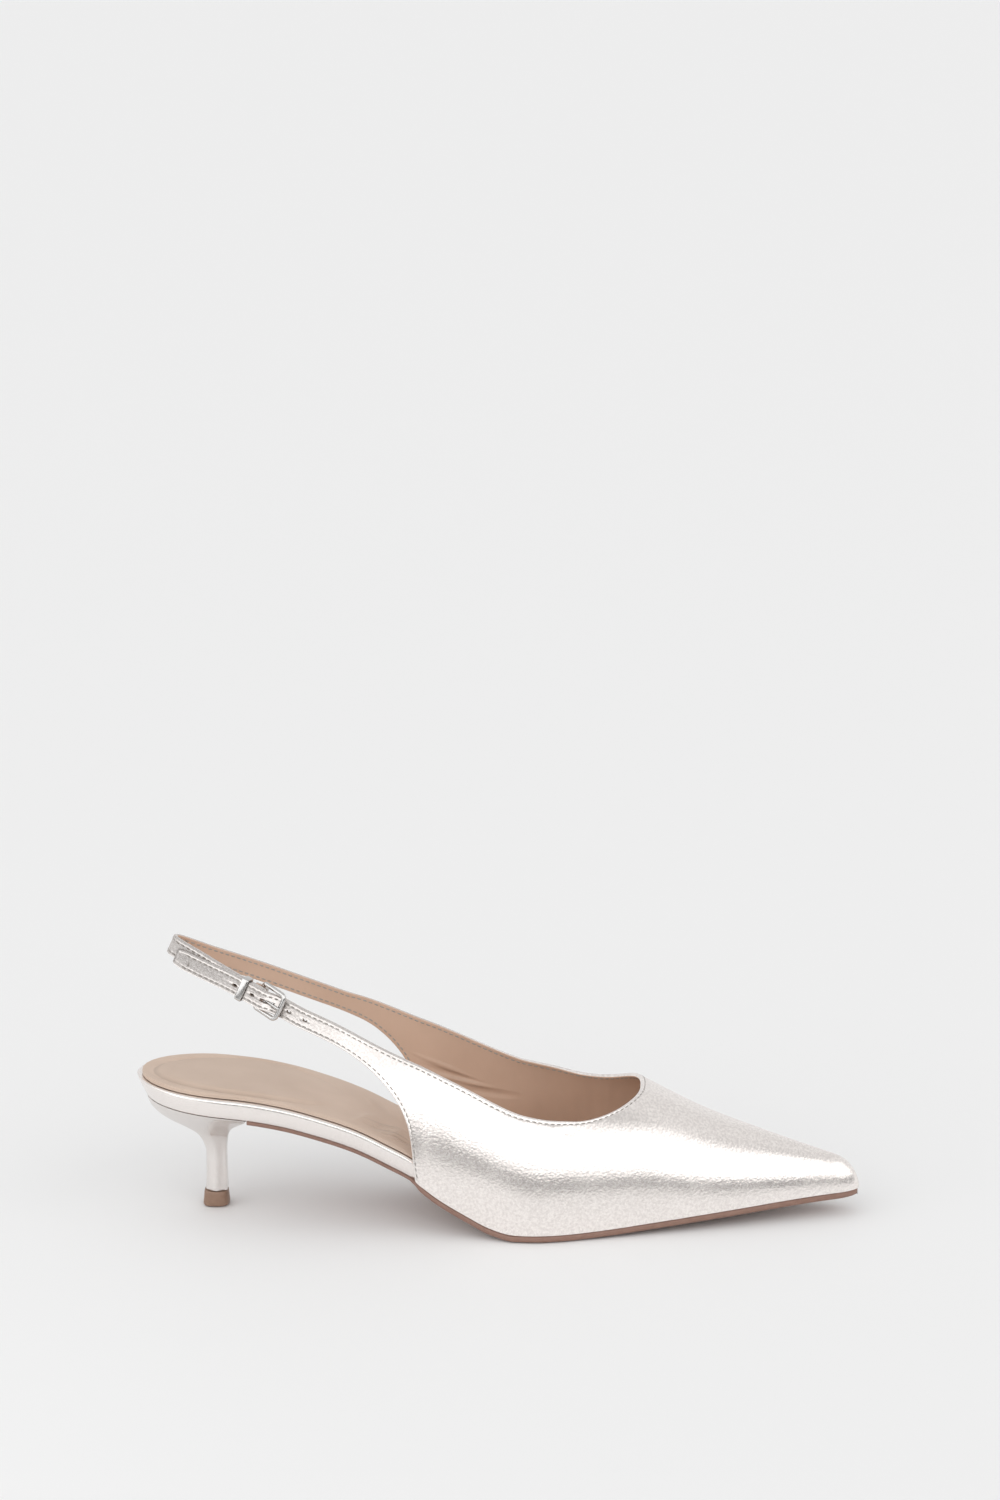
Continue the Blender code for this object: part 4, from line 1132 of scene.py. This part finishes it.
def with_edges(row):
    """A row with more columns close to both edges, for the folded edge and the seam beside it."""
    row = np.array(row)
    steps = steps_along(row)
    middle = ACROSS // 2
    total, centre = steps[-1], steps[middle]
    made = [point_along(row, steps, d) for d in EDGE_COLUMNS]
    for j in range(1, ACROSS):
        if abs(j - middle) > 1:
            sign = 1 if j > middle else -1
            far = abs(steps[ACROSS - 1 if sign > 0 else 1] - centre)
            room = (total - centre if sign > 0 else centre) - EDGE_COLUMNS[-1] - EDGE_GAP
            share = (abs(steps[j] - centre) - HOLE_ROOM) / (far - HOLE_ROOM)
            made.append(point_along(row, steps, centre + sign * (HOLE_ROOM + (room - HOLE_ROOM) * share)))
        else:
            made.append(row[j])
    return np.array(made + [point_along(row, steps, total - d) for d in EDGE_COLUMNS[::-1]])


def without_kink(outer, join):
    """The grid with the line of the topline drawn smoothly over the join of wing and vamp."""
    outer = outer.copy()
    rows = np.arange(join - KINK_REACH, join + KINK_REACH + 1)
    weight = np.exp(-(((rows - join) / (KINK_REACH / 2)) ** 2))[:, None, None] * 0.5
    upward = np.linspace(0, 1, outer.shape[1])[None, :, None] ** 2
    for _ in range(KINK_PASSES):
        middle = (outer[rows - 1] + outer[rows + 1]) / 2
        outer[rows] += (middle - outer[rows]) * weight * upward
    return outer


def removed_cells(middle, front, fold_slot):
    """Cells of the grid that are open: the punched holes, the prong's slot and the slot of the fold."""
    centres, slot = hole_rows()
    rows = [c + a for c in centres for a in (-1, 0)] + list(slot) + [front + i for i in fold_slot]
    return {(row, middle + b) for row in rows for b in (-1, 0)}


def dress_upper():
    """The solid's wall on a finer grid, with folded edges and seams; lining inside, foil outside."""
    outer, front, joins, fold_slot = upper_rows()
    for join in joins:
        outer = without_kink(outer, join)
    start, stop = joins
    normals = outer - inner_face(outer)
    normals /= np.linalg.norm(normals, axis=2, keepdims=True)
    inner = outer - normals * WALL
    for i in range(start - 1, stop + 1):
        inner[i, 0, 2] = float(feather(inner[i, 0, 0])) + GAP
    rows, columns = outer.shape[:2]
    sewn = np.r_[0:start, stop:rows]
    for k, height in enumerate(EDGE_RELIEF):
        outer[:, columns - 1 - k] += normals[:, columns - 1 - k] * height
        inner[:, columns - 1 - k] -= normals[:, columns - 1 - k] * height * 0.5
        outer[sewn, k] += normals[sewn, k] * height
    removed = removed_cells(columns // 2, front, fold_slot)
    offset = rows * columns
    kept = [(i, j) for i in range(rows - 1) for j in range(columns - 1) if (i, j) not in removed]
    inside = set(kept)
    faces, look = [], []
    for i, j in kept:
        numbers = [a * columns + b for a, b in ((i, j), (i + 1, j), (i + 1, j + 1), (i, j + 1))]
        faces += [tuple(numbers), tuple(offset + n for n in reversed(numbers))]
        look += [0, 1]
        for k, beside in enumerate([(i, j - 1), (i + 1, j), (i, j + 1), (i - 1, j)]):
            if beside not in inside:
                a, b = numbers[k], numbers[(k + 1) % 4]
                faces.append((b, a, offset + a, offset + b))
                look.append(2 if beside in removed else 0)
    points = in_frame(np.concatenate([outer.reshape(-1, 3), inner.reshape(-1, 3)]))
    piece("upper_leather", points, faces, [METAL, LINING, DARK], "upper", 50, look, 1)
    stitch_upper(outer, inner, normals, start, stop)


def stitches(line, normals, points, faces):
    """A row of thread dashes, each a flattened bead half sunk in the leather."""
    steps = steps_along(line)
    at = STITCH_PITCH / 2
    while at + STITCH_LENGTH < steps[-1]:
        begin, end = (np.array(point_along(line, steps, at + s)) for s in (0.0, STITCH_LENGTH))
        up = unit(np.array(point_along(normals, steps, at + STITCH_LENGTH / 2)))
        ahead = end - begin
        length = np.linalg.norm(ahead)
        at += STITCH_PITCH
        if length < STITCH_LENGTH * 0.5:
            continue
        ahead /= length
        aside = unit(np.cross(ahead, up))
        first = len(points)
        for s, wide in STITCH_BEAD:
            centre = begin + ahead * length * s + up * (STITCH_LIFT * (0.25 if wide < 0.5 else 1.0))
            for k in range(6):
                turn = math.pi * k / 3
                around = math.cos(turn) * aside + 0.8 * math.sin(turn) * up
                points.append(centre + STITCH_RADIUS * wide * around)
        bead = ring_faces([range(6)] * len(STITCH_BEAD), False)
        faces += [tuple(first + n for n in face) for face in bead]


def stitch_upper(outer, inner, normals, start, stop):
    fold = len(outer) - ROWS_AT_FOLD
    seam = EDGE_RELIEF.index(min(EDGE_RELIEF))
    points, faces = [], []
    for rows, place in ((slice(1, fold), -1 - seam), (slice(1, start), seam), (slice(stop, fold), seam)):
        stitches(outer[rows, place], normals[rows, place], points, faces)
        stitches(inner[rows, place], -normals[rows, place], points, faces)
    across = slice(seam, outer.shape[1] - seam)
    stitches(outer[2, across], normals[2, across], points, faces)
    piece("stitching", in_frame(points), faces, [THREAD], None, 60)


def dress_buckle():
    place, width = buckle_place()
    half = STRAP_WIDTH / 2 + 1.1 * GAP + FRAME_WIRE
    rings = []
    for x, y, angle in rounded_box(0.0, width, half, half - STRAP_WIDTH / 2 - GAP / 2, FRAME_CORNER, 8):
        wire = BAR_RADIUS + (FRAME_WIRE - BAR_RADIUS) * float(ease(x / 0.0006))
        ring = []
        for k in range(FRAME_SIDES):
            turn = 2 * math.pi * k / FRAME_SIDES
            out, up = wire * math.cos(turn), wire * math.copysign(abs(math.sin(turn)) ** 0.8, math.sin(turn))
            ring.append((x + out * math.cos(angle), y + out * math.sin(angle), up))
        rings.append(ring)
    ring_piece("frame_wire", placed(rings, place), SILVER, "buckle_frame", 70, True)
    ring_piece("prong_wire", placed(prong_rings(width), place), SILVER, "buckle_prong", 70)


def prong_rings(width):
    """The prong from its hook round the bar, over the strap, to its tip resting on the frame."""
    hook = BAR_RADIUS + GAP + PRONG_WIRE
    path = [(hook * math.cos(math.radians(a)), hook * math.sin(math.radians(a))) for a in range(340, 89, -10)]
    rest = FRAME_WIRE + GAP + PRONG_WIRE
    path += [(width * s, hook + (rest - hook) * s) for s in (0.1, 0.25, 0.5, 0.75, 0.95)]
    path += [(width + FRAME_WIRE * 0.5, rest - 0.00006), (width + FRAME_WIRE * 0.75, rest - 0.00014)]
    rings = []
    for k, (x, z) in enumerate(path):
        before, after = path[max(k - 1, 0)], path[min(k + 1, len(path) - 1)]
        ahead = unit(np.array(after) - np.array(before))
        wire = PRONG_WIRE * (0.7 if k == len(path) - 1 else 1.0)
        ring = []
        for turn in (2 * math.pi * s / PRONG_SIDES for s in range(PRONG_SIDES)):
            out = wire * math.cos(turn)
            ring.append((x - ahead[1] * out, wire * math.sin(turn), z + ahead[0] * out))
        rings.append(ring)
    return rings


def dress_keeper():
    step = 0.001
    ahead = loop_point(KEEPER_AT + step, -1) - loop_point(KEEPER_AT - step, -1)
    place = strap_place(loop_point(KEEPER_AT, -1), ahead)
    low, high = -WALL / 2 - GAP - KEEPER_THICK, 1.5 * WALL + 2 * GAP + KEEPER_THICK
    half = STRAP_WIDTH / 2 + GAP + KEEPER_THICK
    rings = []
    for z, y, angle in rounded_box(low, high, half, KEEPER_ROUND, KEEPER_ROUND, 8):
        ring = []
        for place_along, depth in KEEPER_SECTION:
            x, inward = place_along * KEEPER_WIDTH / 2, KEEPER_THICK * depth
            ring.append((x, y - inward * math.sin(angle), z - inward * math.cos(angle)))
        rings.append(ring)
    ring_piece("keeper_band", placed(rings, place), SILVER, "keeper", 40, True)


# Camera, floor and light

# Width and height of the photograph in pixels, the pixel where the camera's target lies, and the pixels per
# millimetre there
PHOTO_WIDTH = 1000
PHOTO_HEIGHT = 1500
TARGET_PIXEL = (218, 1207)
PIXELS_PER_MM = 2.83
# The target in the shoe's own coordinates, the camera's turn and rise in degrees, its distance in metres and
# the width of its sensor in millimetres
TARGET = (0.028, -0.0045, 0.0)
CAMERA_TURN = 6
CAMERA_RISE = 20
CAMERA_DISTANCE = 1.6
SENSOR = 36

FLOOR_HALF = 16.0
FLOOR_LEVEL = -0.0002
# Where the floor turns from pale to dim, toward the viewer and outside the photograph
FLOOR_FADE = (-0.25, -0.38)
FLOOR_PALE = (0.88, 0.88, 0.88, 1)
FLOOR_DIM = (0.14, 0.135, 0.13, 1)

# Brightness of the room in front of the shoe and behind it, by the height of the direction looked in
FRONT_WALL = [
    (0.0, 0.03), (0.11, 0.05), (0.17, 1.35), (0.23, 1.65),
    (0.75, 1.55), (0.85, 0.46), (0.92, 0.62), (1.0, 0.92),
]
BACK_WALL = [(0.0, 0.85), (0.25, 0.85), (0.55, 0.76), (0.85, 0.78), (1.0, 0.90)]
# Where the room changes from front to back, by the sideways part of the direction
WALL_CHANGE = (-0.25, 0.35)
WORLD_STRENGTH = 0.97
# Low screen in front of the heel: its place, what it faces, its size and its power
LOW_SCREEN = ((-0.48, -0.42, 0.125), (-0.02, -0.03, 0.05), (0.36, 0.15), 0.28)


def direction(turn, height):
    """The direction from the shoe to a viewer, turned from the shoe's outer side and raised."""
    level = math.cos(height)
    return np.array([math.sin(turn) * level, -math.cos(turn) * level, math.sin(height)])


def camera():
    """The photograph's angle to the shoe: a long lens, well above the sole, just in front of its side."""
    middle_x, middle_y = PHOTO_WIDTH / 2, PHOTO_HEIGHT / 2
    target = np.array(TARGET) + SHIFT
    azimuth, elevation = math.radians(CAMERA_TURN), math.radians(CAMERA_RISE)
    focal = PIXELS_PER_MM * CAMERA_DISTANCE * 1000
    eye = target + direction(azimuth, elevation) * CAMERA_DISTANCE
    turn = azimuth + math.atan((TARGET_PIXEL[0] - middle_x) / focal)
    tilt = elevation - math.atan((TARGET_PIXEL[1] - middle_y) / focal)
    ahead = -direction(turn, tilt)
    right = unit(np.cross(ahead, (0, 0, 1)))
    over = np.cross(right, ahead)
    data = bpy.data.cameras.new("camera")
    data.sensor_fit = "HORIZONTAL"
    data.sensor_width = SENSOR
    data.lens = SENSOR * focal / PHOTO_WIDTH
    data.clip_start, data.clip_end = 0.05, 50
    to_target = (target - eye) / ((target - eye) @ ahead)
    data.shift_x = -(TARGET_PIXEL[0] - (middle_x + focal * (to_target @ right))) / PHOTO_WIDTH
    data.shift_y = (TARGET_PIXEL[1] - (middle_y - focal * (to_target @ over))) / PHOTO_WIDTH
    made = linked("camera", data)
    made.matrix_world = Matrix([[right[r], over[r], -ahead[r], eye[r]] for r in range(3)] + [[0, 0, 0, 1]])
    bpy.context.scene.camera = made


def floor():
    """A plain pale floor. In front of the shoe, outside the photograph, it dims for the foil to reflect."""
    mesh = bpy.data.meshes.new("floor")
    corners = [(x * FLOOR_HALF, y * FLOOR_HALF, FLOOR_LEVEL) for x, y in ((-1, -1), (1, -1), (1, 1), (-1, 1))]
    mesh.from_pydata(corners, [], [(0, 1, 2, 3)])
    made, tree, shader, where = new_material("pale_floor", {"Roughness": 0.6, "Specular IOR Level": 0.25})
    share = fade(tree, coordinate(tree, where, "Y"), *FLOOR_FADE)
    fill(tree, shader, {"Base Color": mixed(tree, FLOOR_PALE, FLOOR_DIM, share)})
    mesh.materials.append(made)
    ground = linked("floor", mesh)


def area(name, place, aim, size, power):
    data = bpy.data.lights.new(name, "AREA")
    data.shape = "RECTANGLE"
    data.size, data.size_y = size
    data.energy = power
    made = linked(name, data)
    made.location = place
    made.rotation_euler = (Vector(aim) - Vector(place)).to_track_quat("-Z", "Y").to_euler()


def studio():
    """A pale room: a bright screen in front with a dim band above it, and a softer wall behind the shoe."""
    world = bpy.data.worlds.new("studio")
    bpy.context.scene.world = world
    world.use_nodes = True
    tree = world.node_tree
    where = add(tree, "TexCoord", {}).outputs["Generated"]
    height = coordinate(tree, where, "Z")
    front, back = (ramp(tree, height, greys(wall)) for wall in (FRONT_WALL, BACK_WALL))
    colour = mixed(tree, front, back, fade(tree, coordinate(tree, where, "Y"), *WALL_CHANGE))
    fill(tree, tree.nodes["Background"], {"Color": colour, "Strength": WORLD_STRENGTH})
    area("low_screen", *LOW_SCREEN)


bpy.context.scene.view_settings.view_transform = "Standard"
camera()
floor()
studio()
dress_outsole()
dress_board()
dress_sock()
dress_heel()
dress_top_piece()
dress_upper()
dress_buckle()
dress_keeper()
